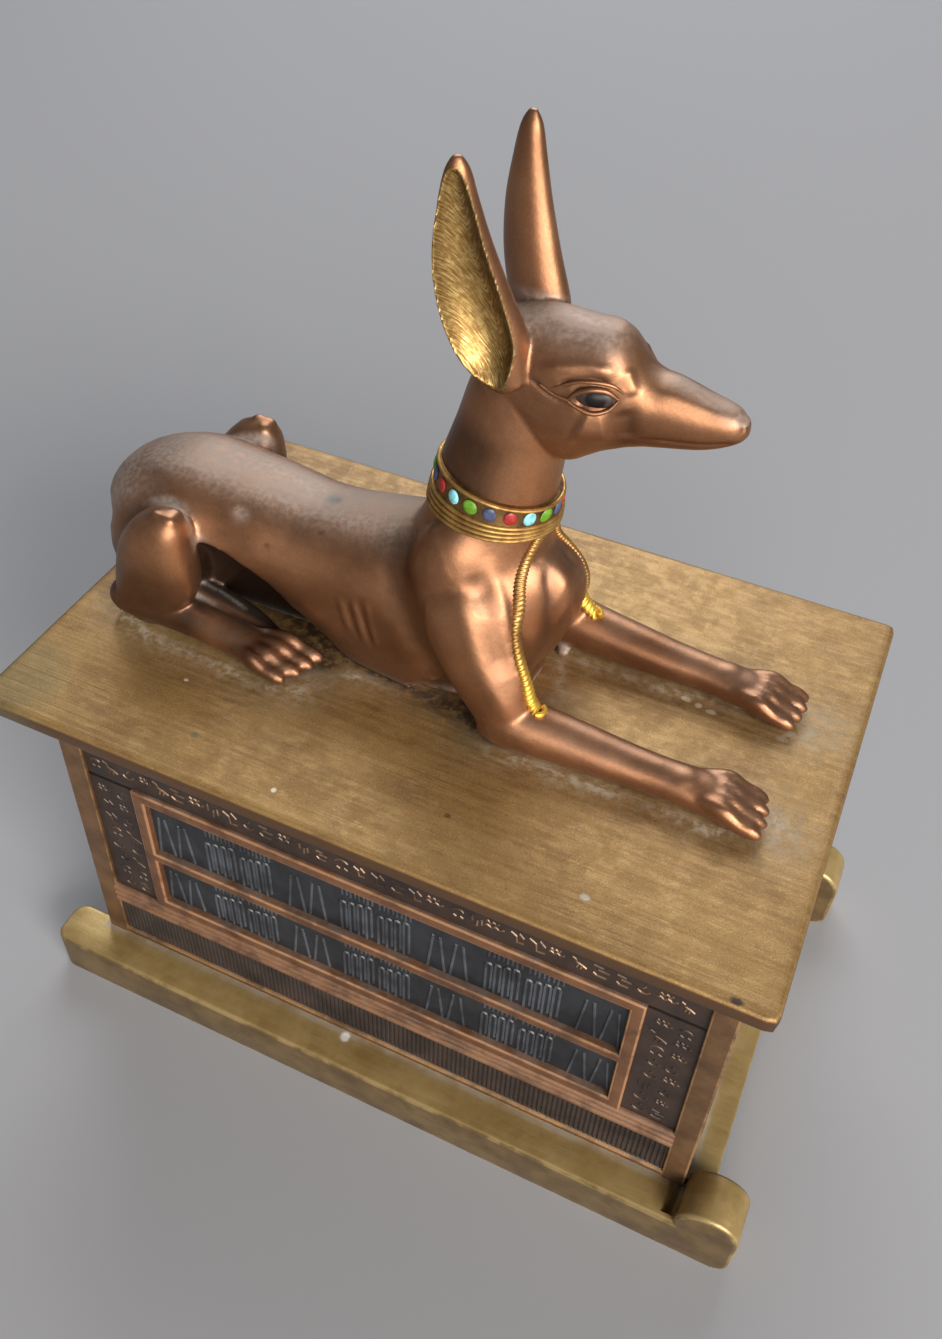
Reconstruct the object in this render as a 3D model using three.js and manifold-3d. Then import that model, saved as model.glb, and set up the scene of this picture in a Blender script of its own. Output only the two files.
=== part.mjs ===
// A jackal that lies on the lid of an oblong box on sledge runners: a trinket box of cast resin.
// X runs from the tail to the muzzle, Y across the box, Z up from the surface that it stands on.
import * as THREE from "three";
import { LoftGeometry } from "three/addons/geometries/LoftGeometry.js";
import { mergeVertices } from "three/addons/utils/BufferGeometryUtils.js";
import Module from "manifold-3d";

// Sizes of the sledge, in millimetres
const SLEDGE_LENGTH = 178;
const SLEDGE_WIDTH = 108.2;
const RUNNER_WIDTH = 11;
const RUNNER_HEIGHT = 13.4;
const RUNNER_REAR_ROUND = 3;
const ROLL_RADIUS = 7.1;
const ROLL_RISE = 1.7;
const TOE_RADIUS = 4.6;
const NOTCH_RADIUS = 3.2;
const NOTCH_OUTER_WALL = 1.6;

// Sizes of the chest
const CHEST_HEIGHT = 83.8;
const CHEST_TOP_LENGTH = 149.8;
const CHEST_TOP_WIDTH = 88.2;
const CHEST_BATTER = 1.3;
const CHEST_SET_BACK = 1.6;
const CHEST_WALL = 5;
const CHEST_FLOOR = 5;
const CHEST_CLEAR_OF_GROUND = 5;
const STEP_DEPTH = 6.3;

// Sizes of the relief on the chest's walls, heights from the top of the runners
const POST_WIDTH = 5.2;
const TOP_RAIL = 4.5;
const BAND_DEPTH = 1;
const PANEL_DEPTH = 1.8;
const BASE_RAIL = 2;
const RIDGED_RAIL_FOOT = 14.2;
const RIDGE_PITCH = 2.1;
const RIDGES = 3;
const RIDGE_SINK = 0.7;
const FRAME_FOOT = 20.2;
const FRAME_TOP = 62.7;
const FRAME_BAR = 3;
const FRAME_SIDE_BAND = 11.5;
const MIDDLE_BAR_FOOT = 39.2;
const MIDDLE_BAR = 2.6;

// Sizes of the signs in the panels: pairs of sheaves, and tents of slanting strokes between them
const SIGN_GROUPS = 3;
const SIGN_RISE = 0.6;
const SIGN_LINE = 0.8;
const SHEAF_WIDTH = 7;
const SHEAF_GAP = 1.6;
const TENT_WIDTH = 10.4;

// Shares of a panel's height that the strokes reach, and how far a tent's strokes lean apart
const SHEAF_MIDDLE_SHARE = 0.9;
const SHEAF_SIDE_SHARE = 0.66;
const TENT_SHARE = 0.7;
const TENT_FOOT_SPREAD = 0.75;
const TENT_HEAD_SPREAD = 0.3;

// Sizes of the lid
const LID_LENGTH = 165;
const LID_WIDTH = 105.1;
const LID_THICKNESS = 4.3;
const LID_CORNER = 1.6;
const LID_EDGE = 1;
const LID_SET_BACK = 2.2;
const LID_STEP_DEPTH = 3;
const LID_STEP_WIDTH = 4;
const LID_STEP_CLEARANCE = 0.6;

// The jackal's height, ear tips above the lid, and the gap that touching castings keep
const FIGURE_HEIGHT = 109.2;
const SEAT_GAP = 0.3;

// Places that follow from the sizes
const CHEST_TOP = RUNNER_HEIGHT + CHEST_HEIGHT;
const LID_UNDERSIDE = CHEST_TOP + SEAT_GAP;
const LID_TOP = LID_UNDERSIDE + LID_THICKNESS;
const CHEST_X = -CHEST_SET_BACK;
const LID_X = CHEST_X - LID_SET_BACK;
const RUNNER_INNER = SLEDGE_WIDTH / 2 - RUNNER_WIDTH;

// How far joined shapes run into each other, and how far a cutter runs out past a surface
const BITE = 0.4;
const BEYOND = 5;

const wasm = await Module();
wasm.setup();

// Joins and cuts work on solids, and a solid becomes a faceted mesh again at the end
function solid(geometry) {
  const bare = new THREE.BufferGeometry();
  bare.setAttribute("position", geometry.attributes.position);
  bare.setIndex(geometry.index);
  const merged = mergeVertices(bare, 1e-4);
  return new wasm.Manifold(
    new wasm.Mesh({
      numProp: 3,
      vertProperties: new Float32Array(merged.attributes.position.array),
      triVerts: new Uint32Array(merged.index.array),
    }),
  );
}

function joined(solids) {
  return solids.reduce((whole, next) => whole.add(next));
}

function node(name, shape, color, roughness, metalness) {
  const made = shape.getMesh();
  const geometry = new THREE.BufferGeometry();
  geometry.setAttribute("position", new THREE.BufferAttribute(made.vertProperties, 3));
  geometry.setIndex(new THREE.BufferAttribute(made.triVerts, 1));
  const mesh = new THREE.Mesh(
    geometry,
    new THREE.MeshStandardMaterial({ color, roughness, metalness, flatShading: true }),
  );
  mesh.name = name;
  return mesh;
}

function box(fromX, toX, fromY, toY, fromZ, toZ) {
  const geometry = new THREE.BoxGeometry(toX - fromX, toY - fromY, toZ - fromZ);
  geometry.translate((fromX + toX) / 2, (fromY + toY) / 2, (fromZ + toZ) / 2);
  return solid(geometry);
}

function roundedRectangle(length, width, radius) {
  const shape = new THREE.Shape();
  const x = length / 2 - radius;
  const y = width / 2 - radius;
  shape.absarc(x, y, radius, 0, Math.PI / 2);
  shape.absarc(-x, y, radius, Math.PI / 2, Math.PI);
  shape.absarc(-x, -y, radius, Math.PI, 1.5 * Math.PI);
  shape.absarc(x, -y, radius, 1.5 * Math.PI, 2 * Math.PI);
  return shape;
}

// A closed polygon from [x, y] pairs
function outline(points) {
  return new THREE.Shape(points.map(([x, y]) => new THREE.Vector2(x, y)));
}

// The runners: a bar with a round at the rear and an upturned roll at the front
const ROLL_X = SLEDGE_LENGTH / 2 - ROLL_RADIUS;
const ROLL_Z = RUNNER_HEIGHT + ROLL_RISE;

function runner(side) {
  const rear = -SLEDGE_LENGTH / 2;
  const meets = Math.PI + Math.asin(ROLL_RISE / ROLL_RADIUS);
  const shape = new THREE.Shape();
  const toe = ROLL_X + ROLL_RADIUS - TOE_RADIUS;
  shape.absarc(toe, TOE_RADIUS, TOE_RADIUS, -Math.PI / 2, 0);
  shape.absarc(ROLL_X, ROLL_Z, ROLL_RADIUS, 0, meets);
  shape.lineTo(rear, RUNNER_HEIGHT);
  shape.lineTo(rear, 0);
  const bar = new THREE.ExtrudeGeometry(shape, {
    depth: RUNNER_WIDTH,
    bevelEnabled: false,
    curveSegments: 10,
  });
  bar.rotateX(Math.PI / 2);
  const outer = (side * SLEDGE_WIDTH) / 2;
  bar.translate(0, side > 0 ? outer : outer + RUNNER_WIDTH, 0);
  const notch = new THREE.CylinderGeometry(NOTCH_RADIUS, NOTCH_RADIUS, RUNNER_WIDTH, 12);
  notch.translate(ROLL_X - ROLL_RADIUS, outer - side * (RUNNER_WIDTH / 2 + NOTCH_OUTER_WALL), 0);
  notch.translate(0, 0, RUNNER_HEIGHT + NOTCH_RADIUS / 4);
  const plan = new THREE.ExtrudeGeometry(
    roundedRectangle(SLEDGE_LENGTH, RUNNER_WIDTH, RUNNER_REAR_ROUND),
    { depth: ROLL_Z + ROLL_RADIUS + BEYOND, bevelEnabled: false, curveSegments: 4 },
  );
  plan.translate(0, outer - (side * RUNNER_WIDTH) / 2, 0);
  const front = box(0, SLEDGE_LENGTH, -SLEDGE_WIDTH, SLEDGE_WIDTH, 0, ROLL_Z + ROLL_RADIUS + BEYOND);
  return solid(bar).intersect(solid(plan).add(front)).subtract(solid(notch));
}

// The chest's four walls, each with its own axes: along the wall, up its slope and out of it
function wall(outward, topHalf, acrossTopHalf) {
  const slope = Math.atan2(CHEST_BATTER, CHEST_HEIGHT);
  const out = new THREE.Vector3(
    outward.x * Math.cos(slope),
    outward.y * Math.cos(slope),
    Math.sin(slope),
  );
  const along = new THREE.Vector3(0, 0, 1).cross(outward);
  const up = new THREE.Vector3().crossVectors(out, along);
  const foot = outward.clone().multiplyScalar(acrossTopHalf + CHEST_BATTER);
  foot.x += CHEST_X;
  foot.z = RUNNER_HEIGHT;
  const matrix = new THREE.Matrix4().makeBasis(along, up, out).setPosition(foot);
  return { matrix, topHalf, height: CHEST_HEIGHT / Math.cos(slope) };
}

const HALF_LENGTH = CHEST_TOP_LENGTH / 2;
const HALF_WIDTH = CHEST_TOP_WIDTH / 2;
const LONG_WALLS = [
  wall(new THREE.Vector3(0, -1, 0), HALF_LENGTH, HALF_WIDTH),
  wall(new THREE.Vector3(0, 1, 0), HALF_LENGTH, HALF_WIDTH),
];
const END_WALLS = [
  wall(new THREE.Vector3(1, 0, 0), HALF_WIDTH, HALF_LENGTH),
  wall(new THREE.Vector3(-1, 0, 0), HALF_WIDTH, HALF_LENGTH),
];

// A wall's own axes, in its own terms
const ALONG = new THREE.Vector3(1, 0, 0);
const UP = new THREE.Vector3(0, 1, 0);
const OUT = new THREE.Vector3(0, 0, 1);

// A flat shape drawn on a wall, from one depth to another along the wall's outward axis
function onWall(face, shape, fromDepth, toDepth) {
  const geometry = new THREE.ExtrudeGeometry(shape, {
    depth: toDepth - fromDepth,
    bevelEnabled: false,
    curveSegments: 4,
  });
  geometry.translate(0, 0, fromDepth);
  geometry.applyMatrix4(face.matrix);
  return solid(geometry);
}

// Half the length of a wall between its posts, at a height above the runners
function halfBetweenPosts(face, height) {
  return face.topHalf + CHEST_BATTER * (1 - height / face.height) - POST_WIDTH;
}

function rectangle(fromU, toU, fromV, toV) {
  return outline([
    [fromU, fromV],
    [toU, fromV],
    [toU, toV],
    [fromU, toV],
  ]);
}

function recessedField(face) {
  const top = face.height - TOP_RAIL;
  const low = halfBetweenPosts(face, BASE_RAIL);
  const high = halfBetweenPosts(face, top);
  const shape = outline([
    [-low, BASE_RAIL],
    [low, BASE_RAIL],
    [high, top],
    [-high, top],
  ]);
  return onWall(face, shape, -BAND_DEPTH, BEYOND);
}

// The frame round the two panels keeps a band for the signs on either side
function frameHalf(face) {
  return halfBetweenPosts(face, FRAME_TOP) - FRAME_SIDE_BAND;
}

function panelRows() {
  return [
    { foot: FRAME_FOOT + FRAME_BAR, top: MIDDLE_BAR_FOOT },
    { foot: MIDDLE_BAR_FOOT + MIDDLE_BAR, top: FRAME_TOP - FRAME_BAR },
  ];
}

function panelHoles(face) {
  const half = frameHalf(face) - FRAME_BAR;
  return panelRows().map(({ foot, top }) => rectangle(-half, half, foot, top));
}

function panelFrame(face) {
  const half = frameHalf(face);
  const shape = rectangle(-half, half, FRAME_FOOT, FRAME_TOP);
  shape.holes = panelHoles(face);
  return onWall(face, shape, -BAND_DEPTH - BITE, 0);
}

// Three small half-round ridges, side by side along the wall
function ridgedRail(face) {
  const half = halfBetweenPosts(face, RIDGED_RAIL_FOOT) + BITE;
  const bed = -BAND_DEPTH - BITE;
  const points = [
    [RIDGED_RAIL_FOOT + RIDGES * RIDGE_PITCH, bed],
    [RIDGED_RAIL_FOOT, bed],
  ];
  for (let step = 0; step <= RIDGES * 4; step += 1) {
    const rise = Math.abs(Math.sin((step * Math.PI) / 4)) * (RIDGE_PITCH / 2);
    points.push([RIDGED_RAIL_FOOT + (step * RIDGE_PITCH) / 4, rise - RIDGE_SINK]);
  }
  const rail = new THREE.ExtrudeGeometry(outline(points), {
    depth: 2 * half,
    bevelEnabled: false,
  });
  rail.translate(0, 0, -half);
  const alongWall = new THREE.Matrix4().makeBasis(UP, OUT, ALONG);
  rail.applyMatrix4(alongWall);
  rail.applyMatrix4(face.matrix);
  return solid(rail);
}

// One raised stroke of a sign, from one point on the panel to another
function stroke(face, fromU, fromV, toU, toV) {
  const lean = Math.atan2(toV - fromV, toU - fromU) + Math.PI / 2;
  const dx = (Math.cos(lean) * SIGN_LINE) / 2;
  const dy = (Math.sin(lean) * SIGN_LINE) / 2;
  const shape = outline([
    [fromU - dx, fromV - dy],
    [toU - dx, toV - dy],
    [toU + dx, toV + dy],
    [fromU + dx, fromV + dy],
  ]);
  return onWall(face, shape, -PANEL_DEPTH - BITE, -PANEL_DEPTH + SIGN_RISE);
}

// A sheaf of three upright strokes, the middle one tallest
function sheaf(face, centre, foot, top) {
  const strokes = [];
  for (let place = -1; place <= 1; place += 1) {
    const u = centre + (place * (SHEAF_WIDTH - SIGN_LINE)) / 2;
    const height = (top - foot) * (place === 0 ? SHEAF_MIDDLE_SHARE : SHEAF_SIDE_SHARE);
    strokes.push(stroke(face, u, foot, u, foot + height));
  }
  return strokes;
}

// A pair of tents: four strokes that lean together two by two
function tents(face, centre, foot, top) {
  const strokes = [];
  const height = (top - foot) * TENT_SHARE;
  const spread = TENT_WIDTH / 4;
  for (const tent of [-1, 1]) {
    for (const leaning of [-1, 1]) {
      const footU = centre + tent * spread + leaning * spread * TENT_FOOT_SPREAD;
      const headU = centre + tent * spread + leaning * spread * TENT_HEAD_SPREAD;
      strokes.push(stroke(face, footU, foot, headU, foot + height));
    }
  }
  return strokes;
}

function signs(face) {
  const half = frameHalf(face) - FRAME_BAR;
  const pitch = (2 * half - TENT_WIDTH) / SIGN_GROUPS;
  const made = [];
  for (const { foot, top } of panelRows()) {
    for (let group = 0; group <= SIGN_GROUPS; group += 1) {
      const centre = -half + TENT_WIDTH / 2 + group * pitch;
      made.push(...tents(face, centre, foot + BITE, top));
      if (group === SIGN_GROUPS) continue;
      for (const side of [-1, 1]) {
        const beside = centre + pitch / 2 + (side * (SHEAF_WIDTH + SHEAF_GAP)) / 2;
        made.push(...sheaf(face, beside, foot + BITE, top));
      }
    }
  }
  return joined(made);
}

// A box with battered walls, from [half length, half width] at its foot to those at its top
function batteredBox(foot, top, fromZ, toZ) {
  const section = ([x, y], z) => [
    new THREE.Vector3(CHEST_X + x, -y, z),
    new THREE.Vector3(CHEST_X + x, y, z),
    new THREE.Vector3(CHEST_X - x, y, z),
    new THREE.Vector3(CHEST_X - x, -y, z),
  ];
  const sections = [section(foot, fromZ), section(top, toZ)];
  return solid(new LoftGeometry(sections, { capStart: true, capEnd: true }));
}

function chest() {
  const footHalves = [HALF_LENGTH + CHEST_BATTER, HALF_WIDTH + CHEST_BATTER];
  const topHalves = [HALF_LENGTH, HALF_WIDTH];
  const steepness = CHEST_BATTER / CHEST_HEIGHT;
  const underside = CHEST_CLEAR_OF_GROUND;
  const floorTop = underside + CHEST_FLOOR;
  const frontOfStep = CHEST_X + footHalves[0] + STEP_DEPTH;
  const deck = box(
    CHEST_X - footHalves[0],
    frontOfStep,
    -RUNNER_INNER - BITE,
    RUNNER_INNER + BITE,
    underside,
    RUNNER_HEIGHT,
  );
  const walls = batteredBox(footHalves, topHalves, RUNNER_HEIGHT - BITE, CHEST_TOP);
  const inside = (z) => {
    const spread = (CHEST_TOP - z) * steepness - CHEST_WALL;
    return [HALF_LENGTH + spread, HALF_WIDTH + spread];
  };
  const hollow = batteredBox(inside(floorTop), inside(CHEST_TOP + BEYOND), floorTop, CHEST_TOP + BEYOND);
  let made = joined([deck, walls, runner(1), runner(-1)]);
  for (const face of [...LONG_WALLS, ...END_WALLS]) {
    made = made.subtract(recessedField(face));
    for (const hole of panelHoles(face)) {
      made = made.subtract(onWall(face, hole, -PANEL_DEPTH, BEYOND));
    }
    made = made.add(panelFrame(face)).add(ridgedRail(face));
  }
  for (const face of LONG_WALLS) {
    made = made.add(signs(face));
  }
  return made.subtract(hollow);
}

// The lid: a slab with rounded edges, and a rim below that drops into the chest's mouth
function lid() {
  const slab = new THREE.ExtrudeGeometry(
    roundedRectangle(LID_LENGTH - 2 * LID_EDGE, LID_WIDTH - 2 * LID_EDGE, LID_CORNER - LID_EDGE),
    {
      depth: LID_THICKNESS - 2 * LID_EDGE,
      bevelThickness: LID_EDGE,
      bevelSize: LID_EDGE,
      bevelSegments: 2,
      curveSegments: 3,
    },
  );
  slab.translate(LID_X, 0, LID_UNDERSIDE + LID_EDGE);
  const inset = CHEST_WALL + LID_STEP_CLEARANCE;
  const stepHalves = [HALF_LENGTH - inset, HALF_WIDTH - inset];
  const rim = outline([
    [-stepHalves[0], -stepHalves[1]],
    [stepHalves[0], -stepHalves[1]],
    [stepHalves[0], stepHalves[1]],
    [-stepHalves[0], stepHalves[1]],
  ]);
  rim.holes = [rectangle(
    LID_STEP_WIDTH - stepHalves[0],
    stepHalves[0] - LID_STEP_WIDTH,
    LID_STEP_WIDTH - stepHalves[1],
    stepHalves[1] - LID_STEP_WIDTH,
  )];
  const step = new THREE.ExtrudeGeometry(rim, { depth: LID_STEP_DEPTH + BITE, bevelEnabled: false });
  step.translate(CHEST_X, 0, LID_UNDERSIDE - LID_STEP_DEPTH);
  return solid(slab).add(solid(step));
}

// The jackal's stations are in shares of its height: 109.2 of them from the lid to the ear tips.
// Each station holds a place [x, y, z], half the width, and the reach to the front or top and to the
// back or bottom of it. The sections between stations follow a smooth curve.
const UNIT = FIGURE_HEIGHT / 109.2;
const FORWARD = new THREE.Vector3(1, 0, 0);
const UPWARD = new THREE.Vector3(0, 0, 1);

function flesh(stations, { rows, sides, lead = UPWARD, square = 1, side = 1 }) {
  const places = stations.map(([x, y, z]) => new THREE.Vector3(x, y * side, z));
  const reaches = stations.map(([, , , wide, fore, back]) => new THREE.Vector3(wide, fore, back));
  const path = new THREE.CatmullRomCurve3(places);
  const spread = new THREE.CatmullRomCurve3(reaches);
  const sections = [];
  for (let row = 0; row <= rows; row += 1) {
    const centre = path.getPoint(row / rows);
    const reach = spread.getPoint(row / rows);
    const tangent = path.getTangent(row / rows);
    const across = new THREE.Vector3().crossVectors(lead, tangent).normalize();
    const out = new THREE.Vector3().crossVectors(tangent, across);
    const section = [];
    for (let step = 0; step < sides; step += 1) {
      const angle = (2 * Math.PI * (step + 0.5)) / sides;
      const cos = Math.cos(angle);
      const sin = Math.sin(angle);
      const wide = Math.sign(cos) * Math.abs(cos) ** square * reach.x;
      const high = Math.sign(sin) * Math.abs(sin) ** square * (sin > 0 ? reach.y : reach.z);
      section.push(centre.clone().addScaledVector(across, wide).addScaledVector(out, high));
    }
    sections.push(section);
  }
  return solid(new LoftGeometry(sections, { capStart: true, capEnd: true }));
}

function bulge(x, y, z, radiusX, radiusY, radiusZ, turn = 0, sides = 8) {
  const geometry = new THREE.SphereGeometry(1, sides, sides / 2);
  geometry.rotateX(Math.PI / 2);
  geometry.scale(radiusX, radiusY, radiusZ);
  geometry.rotateY(turn);
  geometry.translate(x, y, z);
  return solid(geometry);
}

function torso() {
  const barrel = [
    [-83.7, 0, 14.6, 3, 3, 4.1],
    [-80.7, 0, 15.6, 9.1, 9.1, 13.2],
    [-72.7, 0, 17.6, 14.2, 13.7, 20.3],
    [-61.7, 0, 18.7, 15.7, 15.6, 18.3],
    [-47.7, 0, 20.2, 13.8, 13.2, 8.1],
    [-33.7, 0, 18.7, 12.8, 13.6, 16.3],
    [-17.7, 0, 18.7, 13, 16.3, 34.5],
    [-3.7, 0, 19.7, 14.4, 18.7, 36.6],
    [8.3, 0, 21.7, 14.2, 18.9, 32.5],
    [15.8, 0, 21.7, 9.7, 14.2, 24.4],
    [19.8, 0, 20.7, 3.6, 6.1, 9.1],
  ];
  return flesh(barrel, { rows: 12, sides: 12, square: 0.86 })
    .subtract(flankHollow(-1))
    .subtract(flankHollow(1));
}

// In front of each haunch the flank's edge hangs over a hollow
function flankHollow(side) {
  const hollow = [
    [-61, 16.5, 9, 7.5, 12, 12],
    [-54.5, 16, 10, 8, 13.4, 12],
    [-48.5, 15.8, 9, 7.9, 11.4, 11],
    [-42.8, 14.6, 5, 7.2, 8.6, 8],
    [-37.5, 12.5, -1, 5, 2.8, 3],
  ];
  return flesh(hollow, { rows: 5, sides: 8, side });
}

// The casting is closed below the belly, down to the lid, with a recess on either side
function web() {
  return box(-66, -30, -4.5, 4.5, 0, 18);
}

const NECK = [
  [-0.7, 0, 24.8, 13.7, 14.2, 13.2],
  [1.1, 0, 33.9, 12.8, 14.2, 13.6],
  [2.6, 0, 43.1, 10.4, 11.8, 11.8],
  [3.3, 0, 51.2, 9.1, 11.2, 11],
  [4.9, 0, 59.3, 8.5, 10.4, 10],
  [7.3, 0, 68.5, 8.1, 8.1, 9.6],
  [9.3, 0, 76.6, 6.1, 5.1, 7.1],
];

function neck() {
  return flesh(NECK, { rows: 6, sides: 12, lead: FORWARD });
}

// The collar follows the neck, with a broad band for the stones above three fine rings
function collar() {
  const foot = NECK[2];
  const head = NECK[3];
  const steps = [
    [0, 0.2],
    [0.05, 1.3],
    [0.12, 0.8],
    [0.19, 1.3],
    [0.26, 0.8],
    [0.33, 1.3],
    [0.38, 0.8],
    [0.9, 0.8],
    [0.95, 1.2],
    [1, 0.2],
  ];
  const sides = 12;
  const sections = steps.map(([share, rise]) => {
    const at = foot.map((value, index) => value + (head[index] - value) * share);
    const section = [];
    for (let step = 0; step < sides; step += 1) {
      const angle = (2 * Math.PI * (step + 0.5)) / sides;
      const fore = Math.cos(angle) > 0 ? at[4] : at[5];
      const x = at[0] + Math.cos(angle) * (fore + rise);
      section.push(new THREE.Vector3(x, Math.sin(angle) * (at[3] + rise), at[2]));
    }
    return section;
  });
  return solid(new LoftGeometry(sections, { capStart: true, capEnd: true }));
}

// The two bands that hang from the collar's front over the shoulders, with a thick loop at the end
function hangingBand(side) {
  const ribbon = [
    [13.9, 1.6, 44.1, 1.3, 1.2, 1.2],
    [15.1, 6.6, 38, 1.4, 1.2, 1.2],
    [14.5, 11.2, 30.9, 1.4, 1.2, 1.2],
    [15.3, 13.6, 21.7, 1.5, 1.3, 1.3],
    [17.9, 14.8, 13.6, 1.8, 1.4, 1.4],
    [20.7, 15, 8.5, 2.2, 1.6, 1.6],
  ];
  return flesh(ribbon, { rows: 6, sides: 6, lead: FORWARD, side });
}

function head() {
  const skull = [
    [-1.7, 0, 72.6, 3, 3, 4.1],
    [2.3, 0, 73.6, 6.7, 8.1, 8.1],
    [9.3, 0, 74.4, 8.5, 10, 13],
    [16.3, 0, 74.4, 8.9, 10, 15.9],
    [21.7, 0, 74.1, 8, 10.3, 13.2],
    [25.9, 0, 73.5, 6.1, 7, 10.6],
    [29, 0, 73, 5.5, 5.6, 8.6],
    [32.3, 0, 72.6, 4.9, 5.2, 7.1],
    [38.3, 0, 72.3, 3.9, 3.9, 5.3],
    [42.7, 0, 72.4, 2.9, 3, 3.1],
    [44.7, 0, 72.8, 1.4, 1.3, 1.3],
  ];
  const made = [flesh(skull, { rows: 10, sides: 12, square: 0.92 })];
  for (const side of [-1, 1]) {
    made.push(bulge(21, side * 6.1, 74.8, 4.2, 3.1, 2.6, 0.2));
    made.push(bulge(20.6, side * 6, 78, 5.2, 2.8, 1.4, 0.1));
    made.push(bulge(20.8, side * 6.3, 70.1, 5.3, 2.6, 2.9, 0.3));
  }
  return made;
}

// An ear is a tall leaf, hollowed on the side that faces out and forward
const EAR_TURN = 0.45;
const FAR_EAR_FOOT_LEAD = 1.1;
const FAR_EAR_TIP_LEAD = 3.1;
const EAR_FOOT = 75.6;
const EAR_TOP = 109.2;

function ear(side, footLead, tipLead) {
  const leaning = (stations) => stations.map(([x, y, z, ...reaches]) => {
    const share = (z - EAR_FOOT) / (EAR_TOP - EAR_FOOT);
    return [x + footLead + (tipLead - footLead) * share, y, z, ...reaches];
  });
  const leaf = [
    [8.5, 7.5, 75.6, 4.3, 3, 3],
    [5.6, 8.3, 79.7, 7.3, 3.7, 4.1],
    [2.1, 9.3, 86.8, 6.6, 3.3, 3.9],
    [-0.4, 10, 94.9, 5, 2.6, 3],
    [-1.5, 10.2, 103.1, 2.8, 1.8, 2],
    [-1.9, 10.2, 109.2, 0.7, 0.5, 0.5],
  ];
  const hollow = [
    [7.1, 12, 77.6, 1.8, 2.6, 2],
    [5, 12, 80.7, 5.2, 3, 3],
    [2, 12.4, 87.3, 5.4, 3, 3.3],
    [-0.4, 12.4, 94.9, 4, 2.6, 2.4],
    [-1.5, 11.8, 102.6, 2, 1.8, 1.1],
    [-1.8, 11.2, 107, 0.4, 0.4, 0.3],
  ];
  const lead = new THREE.Vector3(Math.sin(EAR_TURN), side * Math.cos(EAR_TURN), 0);
  return flesh(leaning(leaf), { rows: 6, sides: 10, lead, side }).subtract(
    flesh(leaning(hollow), { rows: 6, sides: 8, lead, side }),
  );
}

function paw(x, y, z, turn) {
  const toes = [];
  for (let toe = 0; toe < 4; toe += 1) {
    const place = toe - 1.5;
    const reach = Math.abs(place) < 1 ? 0.9 : -0.6;
    toes.push(bulge(x + reach + place * turn, y + place * 2.8, z, 3.9, 1.8, 3.2, 0, 6));
  }
  return toes;
}

function foreleg(side) {
  const upper = [
    [-1.3, 10.7, 34.9, 3, 5.1, 5.1],
    [1.9, 12.4, 27.8, 5.1, 9.1, 9.1],
    [7.3, 14.2, 18.1, 5.5, 8.1, 8.7],
    [12.5, 15.6, 9.5, 5.1, 6.7, 6.7],
    [14.9, 16.1, 3.4, 4.5, 5.1, 5.1],
  ];
  const lower = [
    [9.3, 16.1, 5, 3.7, 3.7, 4.7],
    [14.3, 16.1, 5.8, 5.1, 5.5, 5.9],
    [26.3, 15.6, 5.4, 4.9, 5.1, 5.3],
    [42.3, 15.2, 4.6, 4.3, 4.3, 4.5],
    [53.3, 14.8, 4.2, 4.5, 3.8, 4.1],
    [61.3, 14.6, 3.6, 5.9, 3, 3.5],
    [64.3, 14.6, 3, 5.1, 2, 2.8],
  ];
  return [
    flesh(upper, { rows: 4, sides: 10, lead: FORWARD, side }),
    flesh(lower, { rows: 5, sides: 8, side }),
    ...paw(62, side * 14.4, 2.8, side * -0.2),
  ];
}

function hindLeg(side) {
  const haunch = [
    [-70.7, 16.7, 1.4, 4.1, 7.1, 4.7],
    [-69.1, 17.1, 8.5, 5.1, 10.2, 7.5],
    [-65, 17.3, 16.6, 5.7, 10.6, 9.2],
    [-61.6, 17.3, 23.4, 5.4, 7.6, 8.4],
    [-59, 17.3, 28.8, 4.6, 4.7, 5.6],
    [-58.2, 17.3, 32, 2.4, 2, 2.6],
  ];
  const foot = [
    [-76.7, 17.7, 3.8, 2.4, 2.4, 3.3],
    [-72.7, 17.7, 4.4, 3.9, 4.1, 4.3],
    [-57.7, 17.8, 4.2, 3.8, 3.9, 4.1],
    [-45.7, 19.1, 4, 3.9, 3.7, 3.9],
    [-36.7, 19.7, 3.8, 5.3, 3.5, 3.7],
    [-32.7, 19.5, 3.2, 4.7, 2.4, 3],
  ];
  return [
    flesh(haunch, { rows: 6, sides: 12, lead: FORWARD, side, square: 0.85 }),
    flesh(foot, { rows: 5, sides: 8, side }),
    bulge(-66, side * 8, 16, 11, 10, 15),
    ...paw(-34, side * 19.2, 2.7, side * 0.5),
  ];
}

// The tail lies on the lid, curled round the far haunch
function tail() {
  const stations = [
    [-79, 3, 13, 2.4, 3, 3],
    [-83, 8, 5, 2.6, 2.4, 2.6],
    [-82, 18, 2.2, 2.4, 2.2, 2.6],
    [-74, 26, 2, 2.2, 2, 2.4],
    [-62, 28.6, 1.8, 2, 1.8, 2.2],
    [-52, 28.8, 1.2, 1, 1, 1.4],
  ];
  return flesh(stations, { rows: 8, sides: 6 });
}

function jackal() {
  const limbs = [
    torso(),
    web(),
    neck(),
    collar(),
    tail(),
    ...head(),
    ...[-1, 1].flatMap((side) => [
      side > 0 ? ear(side, FAR_EAR_FOOT_LEAD, FAR_EAR_TIP_LEAD) : ear(side, 0, 0),
      hangingBand(side),
      ...foreleg(side),
      ...hindLeg(side),
    ]),
  ];
  const reach = 2 * FIGURE_HEIGHT;
  const aboveLid = box(-reach, reach, -reach, reach, 0, reach);
  return joined(limbs).intersect(aboveLid).scale(UNIT).translate([0, 0, LID_TOP + SEAT_GAP]);
}

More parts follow.
